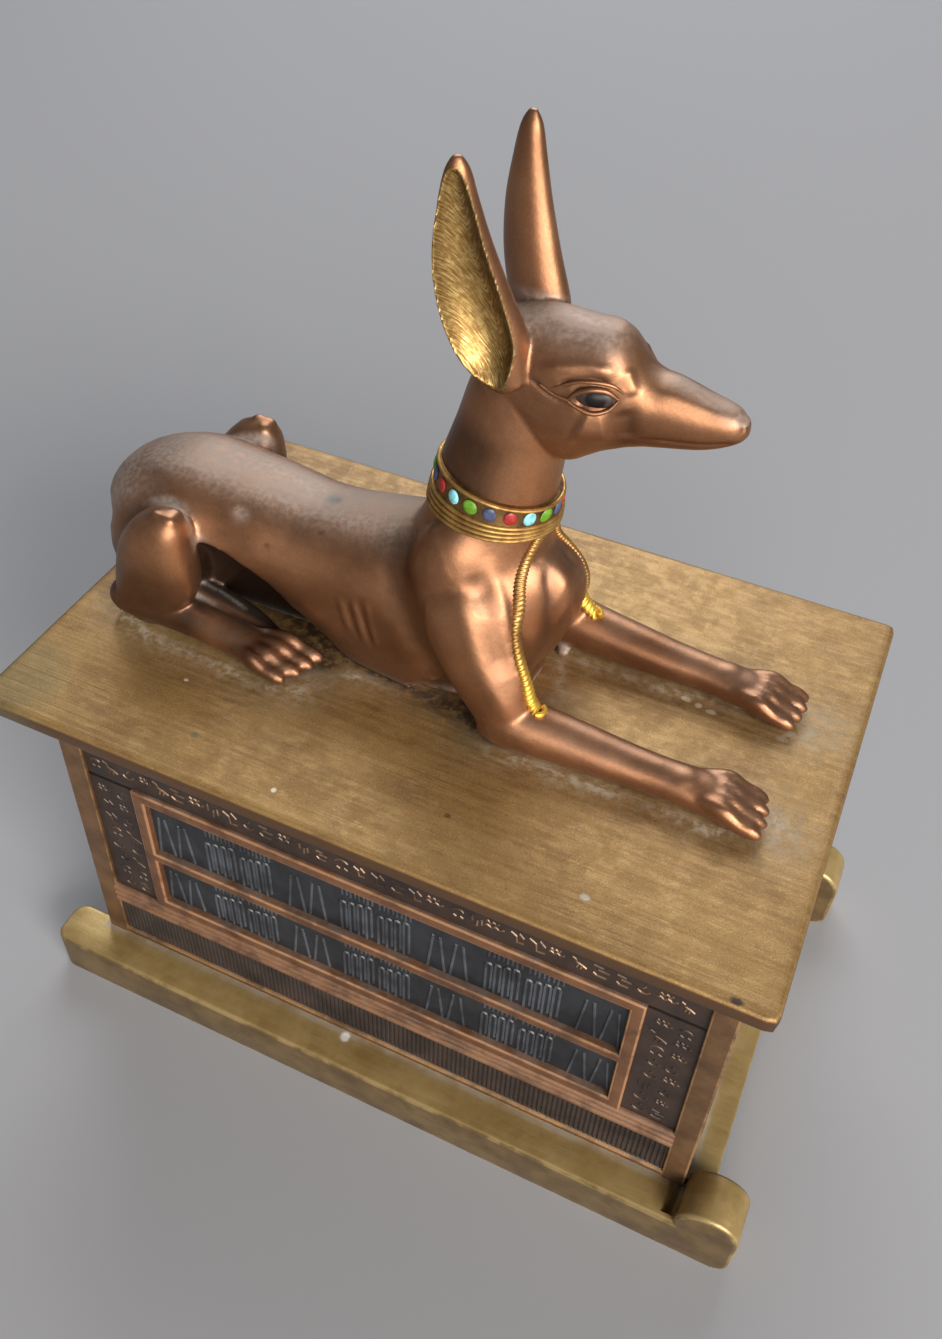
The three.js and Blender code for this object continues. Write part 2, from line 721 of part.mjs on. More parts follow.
const group = new THREE.Group();
group.add(node("chest", chest(), 0x5a3d24, 0.5, 0.6));
group.add(node("lid", lid(), 0x9a7a3c, 0.45, 0.7));
group.add(node("jackal", jackal(), 0x8a5a3c, 0.38, 0.75));

export default group;
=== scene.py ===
import math
import bmesh
import bpy
import numpy as np
from mathutils import Matrix, Vector
from mathutils.bvhtree import BVHTree


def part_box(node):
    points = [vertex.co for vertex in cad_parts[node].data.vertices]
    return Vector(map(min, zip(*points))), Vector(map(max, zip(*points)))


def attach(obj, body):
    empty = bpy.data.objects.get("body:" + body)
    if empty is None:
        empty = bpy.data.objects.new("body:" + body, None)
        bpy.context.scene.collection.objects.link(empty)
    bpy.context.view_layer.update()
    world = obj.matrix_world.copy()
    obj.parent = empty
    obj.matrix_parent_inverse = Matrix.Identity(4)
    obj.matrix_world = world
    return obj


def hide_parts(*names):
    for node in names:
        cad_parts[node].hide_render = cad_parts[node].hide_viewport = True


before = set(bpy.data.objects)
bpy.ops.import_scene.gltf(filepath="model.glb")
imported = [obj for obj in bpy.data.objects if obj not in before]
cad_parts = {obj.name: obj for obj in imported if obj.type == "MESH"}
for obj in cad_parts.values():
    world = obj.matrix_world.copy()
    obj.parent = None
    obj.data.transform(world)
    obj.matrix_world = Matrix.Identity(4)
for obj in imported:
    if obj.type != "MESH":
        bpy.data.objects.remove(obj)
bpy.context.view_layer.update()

# The camera stands above the box, to the right of the jackal, and looks down along it.
# Its place, turn and shift are those of a lens fitted to the straight edges of the lid and box.
def placed(name, data):
    made = bpy.data.objects.new(name, data)
    bpy.context.scene.collection.objects.link(made)
    return made


camera = placed("camera", bpy.data.cameras.new("camera"))
camera.data.sensor_width = 36
camera.data.lens = 31.744
camera.data.shift_x = 0.00206
camera.data.shift_y = -0.01693
camera.data.clip_start = 0.01
right_of_view = Vector((0.9081, 0.4177, 0.0307))
up_of_view = Vector((-0.3136, 0.6295, 0.7109))
camera.matrix_world = Matrix.Translation((0.06668, -0.16056, 0.27862)) @ Matrix(
    (right_of_view, up_of_view, right_of_view.cross(up_of_view))
).transposed().to_4x4()
bpy.context.scene.camera = camera


# The lid: one flat resin casting with rounded edges, painted brass and brushed along its length.
# A rim below it drops into the box's mouth. Dust and crumbs of dirt lie round the jackal's feet,
# painted shade lies under its belly and by its elbows, and the edges are darkened as painted shade.
LID_LENGTH = 165.0
LID_WIDTH = 105.1
LID_CORNER = 1.6
LID_EDGE = 1.0
LID_X = -3.8
_, lid_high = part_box("lid")
LID_TOP = (lid_high * 1000).z
LID_UNDERSIDE = 97.5
CHEST_X = -1.6
RIM_HALF_LENGTH, RIM_HALF_WIDTH = 69.3, 38.5
RIM_WALL, RIM_DEPTH = 4, 3
MM = 0.001


def as_mesh(name, shape):
    mesh = bpy.data.meshes.new(name)
    shape.to_mesh(mesh)
    shape.free()
    return mesh


def piece(name, shape, paint, replaces=(), sharp=35):
    """A finished piece in metres: it rides on the one body and takes the given paint."""
    bmesh.ops.scale(shape, vec=(MM, MM, MM), verts=shape.verts)
    mesh = as_mesh(name, shape)
    mesh.shade_smooth()
    mesh.set_sharp_from_angle(angle=math.radians(sharp))
    mesh.materials.append(paint)
    made = placed(name, mesh)
    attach(made, "root")
    if replaces:
        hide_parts(*replaces)
    return made


def join(shape, other):
    """Adds one bmesh to another, with its marks."""
    carrier = as_mesh("carrier", other)
    shape.from_mesh(carrier)
    bpy.data.meshes.remove(carrier)


def join_turned(shape, other, matrix):
    bmesh.ops.transform(other, matrix=matrix, verts=other.verts)
    join(shape, other)


def round_edges(shape, edges, radius, segments):
    """Rounds some edges, and marks the new faces as worn."""
    worn = shape.faces.layers.float["worn"]
    for face in bmesh.ops.bevel(shape, geom=edges, offset=radius, affect="EDGES",
                                segments=segments, profile=0.5, material=-1)["faces"]:
        face[worn] = 1.0


def add_block(shape, matrix, low, high, rounding=0.3):
    """A bar or block between two corners, with its edges rounded and marked as worn."""
    block = bmesh.new()
    block.faces.layers.float.new("worn")
    corners = bmesh.ops.create_cube(block, size=1)["verts"]
    for corner in corners:
        for axis in range(3):
            share = corner.co[axis] + 0.5
            corner.co[axis] = low[axis] + share * (high[axis] - low[axis])
    if rounding:
        round_edges(block, block.edges[:], rounding, 2)
    join_turned(shape, block, matrix)


def node(tree, kind, settings=None, **inputs):
    """A shader node with its settings, and its inputs given as values or as other sockets."""
    made = tree.nodes.new(kind)
    for key, value in (settings or {}).items():
        setattr(made, key, value)
    for key, value in inputs.items():
        socket = made.inputs[int(key[2:])] if key.startswith("at") else made.inputs[key.replace("_", " ")]
        if isinstance(value, bpy.types.NodeSocket):
            tree.links.new(value, socket)
        else:
            socket.default_value = value
    return made


def sums(tree, operation, first, second=0.0, clamp=False):
    settings = {"operation": operation, "use_clamp": clamp}
    return node(tree, "ShaderNodeMath", settings, at0=first, at1=second).outputs[0]


def times(tree, first, second, clamp=False):
    return sums(tree, "MULTIPLY", first, second, clamp)


def plus(tree, first, second):
    return sums(tree, "ADD", first, second)


def minus(tree, first, second):
    return sums(tree, "SUBTRACT", first, second)


def place_on(tree):
    return node(tree, "ShaderNodeTexCoord").outputs["Object"]


def facing_of(tree):
    return node(tree, "ShaderNodeNewGeometry").outputs["Normal"]


def split(tree, vector):
    return node(tree, "ShaderNodeSeparateXYZ", Vector=vector).outputs


def mark_of(tree, name):
    return node(tree, "ShaderNodeAttribute", {"attribute_name": name}).outputs["Fac"]


def blend(tree, share, first, second):
    """The first colour where the share is 0, the second where it is 1."""
    mix = node(tree, "ShaderNodeMix", {"data_type": "RGBA", "blend_type": "MIX"}, Factor=share)
    for place, value in ((6, first), (7, second)):
        if isinstance(value, bpy.types.NodeSocket):
            tree.links.new(value, mix.inputs[place])
        else:
            mix.inputs[place].default_value = (*value, 1)
    return mix.outputs[2]


def remap(tree, value, low, high, new_low=0.0, new_high=1.0):
    ranged = node(tree, "ShaderNodeMapRange", {"interpolation_type": "SMOOTHSTEP"}, Value=value)
    for key, number in zip(("From Min", "From Max", "To Min", "To Max"), (low, high, new_low, new_high)):
        ranged.inputs[key].default_value = number
    return ranged.outputs[0]


def new_group(name, inputs, outputs):
    group = bpy.data.node_groups.new(name, "ShaderNodeTree")
    for label, value in inputs.items():
        socket = group.interface.new_socket(label, in_out="INPUT", socket_type="NodeSocketFloat")
        socket.default_value = value
    for label in outputs:
        group.interface.new_socket(label, in_out="OUTPUT", socket_type="NodeSocketFloat")
    start = group.nodes.new("NodeGroupInput").outputs
    end = group.nodes.new("NodeGroupOutput").inputs
    return group, start, end


def use_group(tree, group, **inputs):
    made = tree.nodes.new("ShaderNodeGroup")
    made.node_tree = group
    for label, value in inputs.items():
        made.inputs[label.replace("_", " ")].default_value = value
    return made.outputs


def painted_resin():
    """Cloudy paint: a broad and a fine variation over the surface, and a fine height."""
    group, start, end = new_group(
        "painted_resin", {"Cloud size": 90.0, "Grain size": 2600.0}, ("Cloud", "Grain", "Height"))
    place = place_on(group)
    cloud = node(group, "ShaderNodeTexNoise", Vector=place, Detail=6.0, Roughness=0.62)
    group.links.new(start["Cloud size"], cloud.inputs["Scale"])
    grain = node(group, "ShaderNodeTexNoise", Vector=place, Detail=3.0, Roughness=0.7)
    group.links.new(start["Grain size"], grain.inputs["Scale"])
    group.links.new(remap(group, cloud.outputs[0], 0.3, 0.7), end["Cloud"])
    group.links.new(remap(group, grain.outputs[0], 0.3, 0.7), end["Grain"])
    group.links.new(grain.outputs[0], end["Height"])
    return group


def settled_dust():
    """Dust lies where the surface faces up, more in some places than in others."""
    group, start, end = new_group("settled_dust", {"Amount": 0.5, "Patch size": 160.0}, ("Dust",))
    place = place_on(group)
    up = split(group, facing_of(group))["Z"]
    patch = node(group, "ShaderNodeTexNoise", Vector=place, Detail=5.0, Roughness=0.65)
    group.links.new(start["Patch size"], patch.inputs["Scale"])
    lying = times(group, remap(group, up, 0.25, 0.95), remap(group, patch.outputs[0], 0.3, 0.68))
    group.links.new(times(group, lying, start["Amount"], clamp=True), end["Dust"])
    return group


def brushed_grain():
    """Fine lines of a brush or of sanding along the box's length."""
    group, start, end = new_group("brushed_grain", {"Line length": 14.0, "Line width": 900.0}, ("Lines",))
    parts = split(group, place_on(group))
    across = times(group, parts["Y"], start["Line width"])
    along = times(group, parts["X"], start["Line length"])
    deep = times(group, parts["Z"], start["Line width"])
    stretched = node(group, "ShaderNodeCombineXYZ", X=along, Y=across, Z=deep).outputs[0]
    lines = node(group, "ShaderNodeTexNoise", Vector=stretched, Scale=1.0, Detail=4.0, Roughness=0.6)
    group.links.new(remap(group, lines.outputs[0], 0.32, 0.68), end["Lines"])
    return group


PAINTED_RESIN = painted_resin()
SETTLED_DUST = settled_dust()
BRUSHED_GRAIN = brushed_grain()


def new_material(name, metallic, roughness):
    material = bpy.data.materials.new(name)
    material.use_nodes = True
    shader = material.node_tree.nodes["Principled BSDF"]
    shader.inputs["Metallic"].default_value = metallic
    shader.inputs["Roughness"].default_value = roughness
    return material, material.node_tree, shader


def near_spot(tree, place, reach):
    """A mask round one place on the surface, in metres."""
    where = place_on(tree)
    wobble = node(tree, "ShaderNodeTexNoise", Vector=where, Scale=1300.0, Detail=2.0)
    away = node(tree, "ShaderNodeVectorMath", {"operation": "SUBTRACT"}, at0=where, at1=place)
    shrunk = node(tree, "ShaderNodeVectorMath", {"operation": "DIVIDE"}, at0=away.outputs[0], at1=reach)
    length = node(tree, "ShaderNodeVectorMath", {"operation": "LENGTH"}, at0=shrunk.outputs[0])
    ragged = plus(tree, length.outputs["Value"], times(tree, wobble.outputs[0], 0.7))
    return remap(tree, ragged, 1.75, 1.0)


def bump(tree, shader, height, strength):
    raised = node(tree, "ShaderNodeBump", Strength=strength, Distance=0.2 * MM, Height=height)
    tree.links.new(raised.outputs[0], shader.inputs["Normal"])


# Chips, dirt and crumbs on the lid in metres: their place, reach each way, and colour
LID_SPOTS = (
    (0.0712, -0.0514, 0.0011, 0.0006, 0.0006, (0.05, 0.036, 0.024)),
    (-0.041, -0.042, 0.0009, 0.0007, 0.001, (0.16, 0.12, 0.06)),
    (0.0415, -0.0435, 0.0009, 0.0006, 0.001, (0.38, 0.34, 0.27)),
    (-0.051, -0.0303, 0.0005, 0.0004, 0.001, (0.55, 0.48, 0.36)),
    (0.0434, 0.0104, 0.001, 0.0006, 0.001, (0.5, 0.42, 0.3)),
    (0.0462, 0.0098, 0.0007, 0.0007, 0.001, (0.5, 0.42, 0.3)),
    (0.049, 0.0092, 0.001, 0.0006, 0.001, (0.44, 0.36, 0.25)),
    (0.012, -0.038, 0.0006, 0.0005, 0.001, (0.12, 0.07, 0.03)),
    (-0.02, -0.047, 0.0005, 0.0005, 0.001, (0.6, 0.52, 0.4)),
)


def lid_paint():
    material, tree, shader = new_material("brass_lid_paint", 0.5, 0.45)
    paint = use_group(tree, PAINTED_RESIN, Cloud_size=60.0, Grain_size=1500.0)
    smudge = use_group(tree, PAINTED_RESIN, Cloud_size=240.0, Grain_size=3200.0)
    lines = use_group(tree, BRUSHED_GRAIN)["Lines"]
    broad = use_group(tree, BRUSHED_GRAIN, Line_length=9.0, Line_width=190.0)["Lines"]
    colour = blend(tree, paint["Cloud"], (0.2, 0.105, 0.033), (0.31, 0.182, 0.058))
    colour = blend(tree, times(tree, broad, 0.25), colour, (0.255, 0.145, 0.043))
    colour = blend(tree, remap(tree, smudge["Cloud"], 0.3, 0.9, 0.0, 0.32), colour, (0.17, 0.09, 0.03))
    colour = blend(tree, times(tree, lines, 0.45), colour, (0.36, 0.225, 0.08))
    worked = use_group(tree, BRUSHED_GRAIN, Line_length=190.0, Line_width=640.0)["Lines"]
    scuffs = times(tree, remap(tree, worked, 0.55, 0.95), remap(tree, smudge["Cloud"], 0.9, 0.3))
    colour = blend(tree, times(tree, scuffs, 0.3), colour, (0.42, 0.27, 0.1))
    rubs = times(tree, remap(tree, worked, 0.4, 0.05), remap(tree, paint["Cloud"], 0.8, 0.2))
    colour = blend(tree, times(tree, rubs, 0.34), colour, (0.13, 0.068, 0.022))
    flecks = remap(tree, smudge["Grain"], 0.72, 1.0, 0.0, 0.5)
    colour = blend(tree, flecks, colour, (0.1, 0.055, 0.022))
    pale_flecks = remap(tree, smudge["Grain"], 0.2, 0.0, 0.0, 0.45)
    colour = blend(tree, pale_flecks, colour, (0.46, 0.34, 0.2))
    # The lid's upright edges and its underside are painted a darker brown as painted shade.
    upward = split(tree, facing_of(tree))["Z"]
    colour = blend(tree, remap(tree, upward, 0.6, 0.15, 0.0, 0.95), colour, (0.075, 0.036, 0.016))
    halo = mark_of(tree, "dust")
    speckle = use_group(tree, PAINTED_RESIN, Cloud_size=520.0, Grain_size=3600.0)
    patchy = times(tree, remap(tree, speckle["Cloud"], 0.1, 0.9, 0.25, 1.0),
                   remap(tree, paint["Cloud"], 0.0, 1.0, 0.45, 1.0))
    dusty = times(tree, halo, patchy, clamp=True)
    colour = blend(tree, dusty, colour, (0.36, 0.32, 0.25))
    # Dark crumbs of dirt along the belly's edge, and painted shade under the belly and by the elbows
    crumbs = mark_of(tree, "crumbs")
    crumbs_and_shade = times(tree, crumbs, remap(tree, speckle["Cloud"], 0.0, 0.7, 0.3, 1.0), clamp=True)
    colour = blend(tree, crumbs_and_shade, colour, (0.05, 0.028, 0.015))
    for x, y, *reach, tint in LID_SPOTS:
        colour = blend(tree, near_spot(tree, (x, y, LID_TOP * MM), reach), colour, tint)
    patina = near_spot(tree, (-0.0845, -0.046, LID_TOP * MM), (0.012, 0.012, 0.01))
    colour = blend(tree, times(tree, patina, 0.3), colour, (0.16, 0.17, 0.09))
    tree.links.new(colour, shader.inputs["Base Color"])
    dull = plus(tree, remap(tree, smudge["Cloud"], 0.0, 1.0, 0.42, 0.54), times(tree, dusty, 0.4))
    tree.links.new(dull, shader.inputs["Roughness"])
    tree.links.new(remap(tree, dusty, 0.0, 1.0, 0.5, 0.05), shader.inputs["Metallic"])
    bump(tree, shader, plus(tree, lines, plus(tree, paint["Height"], smudge["Height"])), 0.2)
    return material


def on_lid_outline(x, y, half_length, half_width, radius):
    """Moves a point of a rectangle's corner onto the corner's round."""
    inner = Vector((math.copysign(half_length - radius, x), math.copysign(half_width - radius, y)))
    if abs(x) <= abs(inner.x) or abs(y) <= abs(inner.y):
        return x, y
    away = Vector((x, y)) - inner
    reach = max(abs(away.x), abs(away.y)) / away.length
    return inner.x + away.x * reach, inner.y + away.y * reach


def lid_casting():
    shape = bmesh.new()
    half_length, half_width = LID_LENGTH / 2 - LID_EDGE, LID_WIDTH / 2 - LID_EDGE
    bmesh.ops.create_grid(shape, x_segments=150, y_segments=96, size=1)
    for vert in shape.verts:
        x, y = vert.co.x * half_length, vert.co.y * half_width
        x, y = on_lid_outline(x, y, half_length, half_width, LID_CORNER - LID_EDGE)
        vert.co = (x, y, LID_TOP)
    rim = [edge for edge in shape.edges if edge.is_boundary]
    profile = [(math.sin(turn) * LID_EDGE, LID_TOP - LID_EDGE + math.cos(turn) * LID_EDGE)
               for turn in np.radians((30, 60, 90))]
    profile += [(math.cos(turn) * LID_EDGE, LID_UNDERSIDE + LID_EDGE - math.sin(turn) * LID_EDGE)
                for turn in np.radians((0, 30, 60, 90))]
    inner = {}
    for reach, height in profile:
        grown = bmesh.ops.extrude_edge_only(shape, edges=rim)["geom"]
        rim = [part for part in grown if isinstance(part, bmesh.types.BMEdge)]
        for vert in [part for part in grown if isinstance(part, bmesh.types.BMVert)]:
            x, y = inner.get(tuple(round(value, 3) for value in vert.co), (vert.co.x, vert.co.y))
            corner = Vector((math.copysign(half_length - LID_CORNER + LID_EDGE, x),
                             math.copysign(half_width - LID_CORNER + LID_EDGE, y)))
            away = Vector((x, y)) - corner
            if abs(x) <= abs(corner.x):
                away.x = 0
            if abs(y) <= abs(corner.y):
                away.y = 0
            away.normalize()
            vert.co = (x + away.x * reach, y + away.y * reach, height)
            inner[tuple(round(value, 3) for value in vert.co)] = (x, y)
        rim = [edge for edge in rim if edge.is_boundary]
    bmesh.ops.edgeloop_fill(shape, edges=rim)
    bmesh.ops.translate(shape, vec=(LID_X, 0, 0), verts=shape.verts)
    for low, high in (
        ((-RIM_HALF_LENGTH, -RIM_HALF_WIDTH), (RIM_HALF_LENGTH, -RIM_HALF_WIDTH + RIM_WALL)),
        ((-RIM_HALF_LENGTH, RIM_HALF_WIDTH - RIM_WALL), (RIM_HALF_LENGTH, RIM_HALF_WIDTH)),
        ((-RIM_HALF_LENGTH, -RIM_HALF_WIDTH), (-RIM_HALF_LENGTH + RIM_WALL, RIM_HALF_WIDTH)),
        ((RIM_HALF_LENGTH - RIM_WALL, -RIM_HALF_WIDTH), (RIM_HALF_LENGTH, RIM_HALF_WIDTH)),
    ):
        add_block(shape, Matrix.Translation((CHEST_X, 0, 0)),
                  (*low, LID_UNDERSIDE - RIM_DEPTH), (*high, LID_UNDERSIDE + 0.5), rounding=0.4)
    return shape


# The dust's halo follows the lines of the legs and belly where they meet the lid, in millimetres
CONTACT_LINES = [
    [(16, -20), (40, -19.5), (58, -20), (66, -17), (69, -13), (64, -8.5)],
    [(16, 20), (40, 19.5), (58, 20), (66, 17), (69, 13), (64, 8.5)],
    [(-78, -18), (-66, -23), (-48, -24), (-36, -25), (-29, -23), (-29, -17), (-18, -13), (0, -12),
     (12, -20)],
    [(16, -8), (20, 0), (16, 8), (14, 12), (16, 14)],
    [(60, 14), (40, 11), (20, 11)],
    [(-86, 10), (-85, 20), (-76, 29), (-60, 31), (-34, 25), (-18, 13), (0, 12), (12, 20)],
]


def along_line(points, line):
    """How far points lie from a line of several stretches, and at what share of it."""
    line = np.asarray(line, float)
    spans = np.linalg.norm(np.diff(line, axis=0), axis=1)
    nearest = np.full(len(points), 1e9)
    share = np.zeros(len(points))
    for index, span in enumerate(spans):
        start, step = line[index], line[index + 1] - line[index]
        part = np.clip((points - start) @ step / span ** 2, 0, 1)
        away = np.linalg.norm(points - start - part[:, None] * step, axis=1)
        closer = away < nearest
        nearest[closer] = away[closer]
        share[closer] = (spans[:index].sum() + part[closer] * span) / spans.sum()
    return nearest, share


def add_attribute(made, name, values):
    attribute = made.data.attributes.new(name, "FLOAT", "POINT")
    attribute.data.foreach_set("value", np.asarray(values, np.float32))


def points_of(mesh):
    points = np.empty(len(mesh.vertices) * 3, np.float32)
    mesh.vertices.foreach_get("co", points)
    return points.reshape(-1, 3).astype(float)


# Dark crumbs of glue and dirt along the belly's edge, and painted shade under the belly and by the
# elbow: how far they reach, and their line
CRUMB_AND_SHADE_LINES = [
    (1.9, [(-30, 6), (-26, 9.5), (-18, 11.4), (-8, 12.2), (-3, 12.4), (3, 11), (8, 13), (11, 17)]),
    (5.2, [(-44, 13), (-36, 14.4), (-28, 13.4)]),
    (6.4, [(-52, 0), (-44, 1.5), (-37, 5.5), (-30, 9)]),
    (4.2, [(-5, 12.4), (0, 12.8), (5, 13.6), (10, 15.6)]),
]
PAW_PLACES = ((67, -15), (68, 15), (-30, -20))

lid = piece("lid_casting", lid_casting(), lid_paint(), replaces=["lid"])
lid_points = points_of(lid.data) / MM
on_lid = lid_points[:, :2]
halo = np.zeros(len(lid_points))
for contact in CONTACT_LINES:
    away, _ = along_line(on_lid, contact)
    halo = np.maximum(halo, np.exp(-(away / 1.3) ** 2) * 0.5 + np.exp(-(away / 5.5) ** 2) * 0.34)
for paw_place in PAW_PLACES:
    away = np.linalg.norm((on_lid - paw_place) / (7.5, 7), axis=1)
    halo = np.maximum(halo, np.exp(-away ** 2) * 0.72)
# The crumbs mark: dark crumbs of dirt along the belly's edge, and painted shade under the belly and by the
# elbows
crumbs = np.zeros(len(lid_points))
for reach, contact in CRUMB_AND_SHADE_LINES:
    for side in (-1, 1):
        away, _ = along_line(on_lid, [(x, side * y) for x, y in contact])
        crumbs = np.maximum(crumbs, np.exp(-(away / reach) ** 2))
for name, values in (("dust", np.clip(halo, 0, 1)), ("crumbs", crumbs)):
    values[lid_points[:, 2] < LID_TOP - 0.1] = 0
    add_attribute(lid, name, values)


# The box: four leaning walls in one resin casting, open at the top, with recessed panels between
# corner posts, copper frames round the panels, a ridged rail, and a band of reeds below.
# Its relief is cast with the walls, painted dark, and rubbed with copper or a blue-black.
CHEST_TOP = 97.2
DECK_TOP = 13.4
CHEST_HEIGHT = CHEST_TOP - DECK_TOP
HALF_LENGTH = 74.9
HALF_WIDTH = 44.1
BATTER = 1.3
CHEST_WALL = 5
FLOOR_FOOT, FLOOR_TOP = 5, 10
PANEL_DEPTH = 1.8
BAND_DEPTH = 1.0
BEHIND_PANEL = -PANEL_DEPTH - 1
POST = 5.2
TOP_RAIL = 4.5
BASE_RAIL = 2.0
RIDGED_FOOT = 14.2
RIDGE = 2.1
FRAME_FOOT, FRAME_TOP, FRAME_BAR = 20.2, 62.7, 3.0
MIDDLE_FOOT, MIDDLE_BAR = 39.2, 2.6
PANELS = ((FRAME_FOOT + FRAME_BAR, MIDDLE_FOOT), (MIDDLE_FOOT + MIDDLE_BAR, FRAME_TOP - FRAME_BAR))
SIDE_BAND = 11.5
EDGE_ROUND = 0.45


def wall_matrix(outward, across_half):
    """A wall's own axes: along it, up its slope, and out of it."""
    slope = math.atan2(BATTER, CHEST_HEIGHT)
    out = Vector((outward[0] * math.cos(slope), outward[1] * math.cos(slope), math.sin(slope)))
    along = Vector((0, 0, 1)).cross(Vector((*outward, 0)))
    up = out.cross(along)
    matrix = Matrix((along, up, out)).transposed().to_4x4()
    foot = Vector((*outward, 0)) * (across_half + BATTER)
    matrix.translation = (foot.x + CHEST_X, foot.y, DECK_TOP)
    return matrix


WALLS = [
    (wall_matrix((0, -1), HALF_WIDTH), HALF_LENGTH),
    (wall_matrix((0, 1), HALF_WIDTH), HALF_LENGTH),
    (wall_matrix((1, 0), HALF_LENGTH), HALF_WIDTH),
    (wall_matrix((-1, 0), HALF_LENGTH), HALF_WIDTH),
]


def between_posts(half, height):
    return half + BATTER * (1 - height / CHEST_HEIGHT) - POST


def frame_half_of(half):
    """Half the width of the frame on a wall, between its columns of signs."""
    return between_posts(half, FRAME_TOP) - SIDE_BAND


def wall_corner(vert, height, inset):
    """Where a corner of the box lies at this height, this far inside the posts' face."""
    spread = (CHEST_TOP - height) / CHEST_HEIGHT * BATTER - inset
    return (CHEST_X + math.copysign(HALF_LENGTH + spread, vert.co.x - CHEST_X),
            math.copysign(HALF_WIDTH + spread, vert.co.y), height)


def box_walls():
    """The wall behind the relief, its hollow and the floor."""
    shape = bmesh.new()
    for vert in bmesh.ops.create_cube(shape, size=2, matrix=Matrix.Translation((CHEST_X, 0, 0)))["verts"]:
        vert.co = wall_corner(vert, CHEST_TOP if vert.co.z > 0 else FLOOR_FOOT, PANEL_DEPTH)
    mouth = max(shape.faces, key=lambda face: face.calc_center_median().z)
    bmesh.ops.inset_region(shape, faces=[mouth], thickness=CHEST_WALL - PANEL_DEPTH)
    hollow = bmesh.ops.extrude_discrete_faces(shape, faces=[mouth])["faces"][0]
    for vert in hollow.verts:
        vert.co = wall_corner(vert, FLOOR_TOP, CHEST_WALL)
    return shape


def posts_and_rails():
    """Corner posts, the rail under the lid and the rail at the foot."""
    shape = bmesh.new()
    for matrix, half in WALLS:
        for side in (-1, 1):
            block = bmesh.new()
            block.faces.layers.float.new("worn")
            for vert in bmesh.ops.create_cube(block, size=1)["verts"]:
                top, outer = vert.co.y > 0, vert.co.x > 0
                reach = (half if top else half + BATTER) - (0 if outer else POST)
                depth = 0.0 if vert.co.z > 0 else BEHIND_PANEL
                vert.co = (side * reach, CHEST_HEIGHT if top else -0.2, depth)
            upright = [edge for edge in block.edges
                       if abs(edge.verts[0].co.y - edge.verts[1].co.y) > 50 and edge.verts[0].co.z > -0.5]
            round_edges(block, upright, EDGE_ROUND, 3)
            bmesh.ops.recalc_face_normals(block, faces=block.faces)
            join_turned(shape, block, matrix)
        reach = between_posts(half, 0) + 0.5
        add_block(shape, matrix, (-reach, CHEST_HEIGHT - TOP_RAIL, BEHIND_PANEL),
                  (reach, CHEST_HEIGHT, -0.02))
        add_block(shape, matrix, (-reach, -0.2, BEHIND_PANEL), (reach, BASE_RAIL, -0.02), rounding=0.6)
    return shape


def inscription_bands():
    """The dark fields between posts, rails and frame, which carry the small signs."""
    shape = bmesh.new()
    for matrix, half in WALLS:
        reach = between_posts(half, 0) + 0.3
        frame_half = frame_half_of(half)
        for low, high in (
            ((-reach, FRAME_TOP - 1), (reach, CHEST_HEIGHT - TOP_RAIL + 0.5)),
            ((-reach, BASE_RAIL - 0.5), (reach, FRAME_FOOT + 1)),
            ((-reach, FRAME_FOOT), (-frame_half + 1, FRAME_TOP)),
            ((frame_half - 1, FRAME_FOOT), (reach, FRAME_TOP)),
        ):
            add_block(shape, matrix, (*low, BEHIND_PANEL), (*high, -BAND_DEPTH), rounding=0)
    return shape


def panel_frames():
    """A frame with one bar across its middle, and the ridged rail that runs on below it."""
    shape = bmesh.new()
    for matrix, half in WALLS:
        frame_half = frame_half_of(half)
        bars = bmesh.new()
        bars.faces.layers.float.new("worn")
        columns = [-frame_half, -frame_half + FRAME_BAR, frame_half - FRAME_BAR, frame_half]
        rows = [FRAME_FOOT, *PANELS[0], *PANELS[1], FRAME_TOP]
        bmesh.ops.create_grid(bars, x_segments=3, y_segments=5, size=1)
        for vert in bars.verts:
            column, row = round((vert.co.x + 1) * 1.5), round((vert.co.y + 1) * 2.5)
            vert.co = (columns[column], rows[row], BEHIND_PANEL)
        middles = [(face, face.calc_center_median()) for face in bars.faces]
        holes = [face for face, middle in middles
                 if abs(middle.x) < 1 and any(foot < middle.y < top for foot, top in PANELS)]
        bmesh.ops.delete(bars, geom=holes, context="FACES")
        front = bmesh.ops.extrude_face_region(bars, geom=bars.faces[:])["geom"]
        front = [part for part in front if isinstance(part, bmesh.types.BMVert)]
        bmesh.ops.translate(bars, vec=(0, 0, -BEHIND_PANEL), verts=front)
        bmesh.ops.recalc_face_normals(bars, faces=bars.faces)
        edges = [edge for edge in bars.edges
                 if all(abs(vert.co.z) < 0.1 for vert in edge.verts) and edge.calc_face_angle(0) > 0.5]
        round_edges(bars, edges, EDGE_ROUND, 3)
        join_turned(shape, bars, matrix)
        reach, thick = between_posts(half, RIDGED_FOOT) + 0.4, RIDGE / 2 + 0.1
        for ridge in range(3):
            rod = bmesh.new()
            worn = rod.faces.layers.float.new("worn")
            bmesh.ops.create_cone(rod, cap_ends=True, segments=14, radius1=thick, radius2=thick,
                                  depth=2 * reach, matrix=Matrix.Rotation(math.pi / 2, 4, "Y"))
            for face in rod.faces:
                face[worn] = 0.45 if face.calc_center_median().z > 0.75 else 0.15
            bmesh.ops.translate(rod, vec=(0, RIDGED_FOOT + RIDGE * (ridge + 0.5), -0.85), verts=rod.verts)
            join_turned(shape, rod, matrix)
    return shape


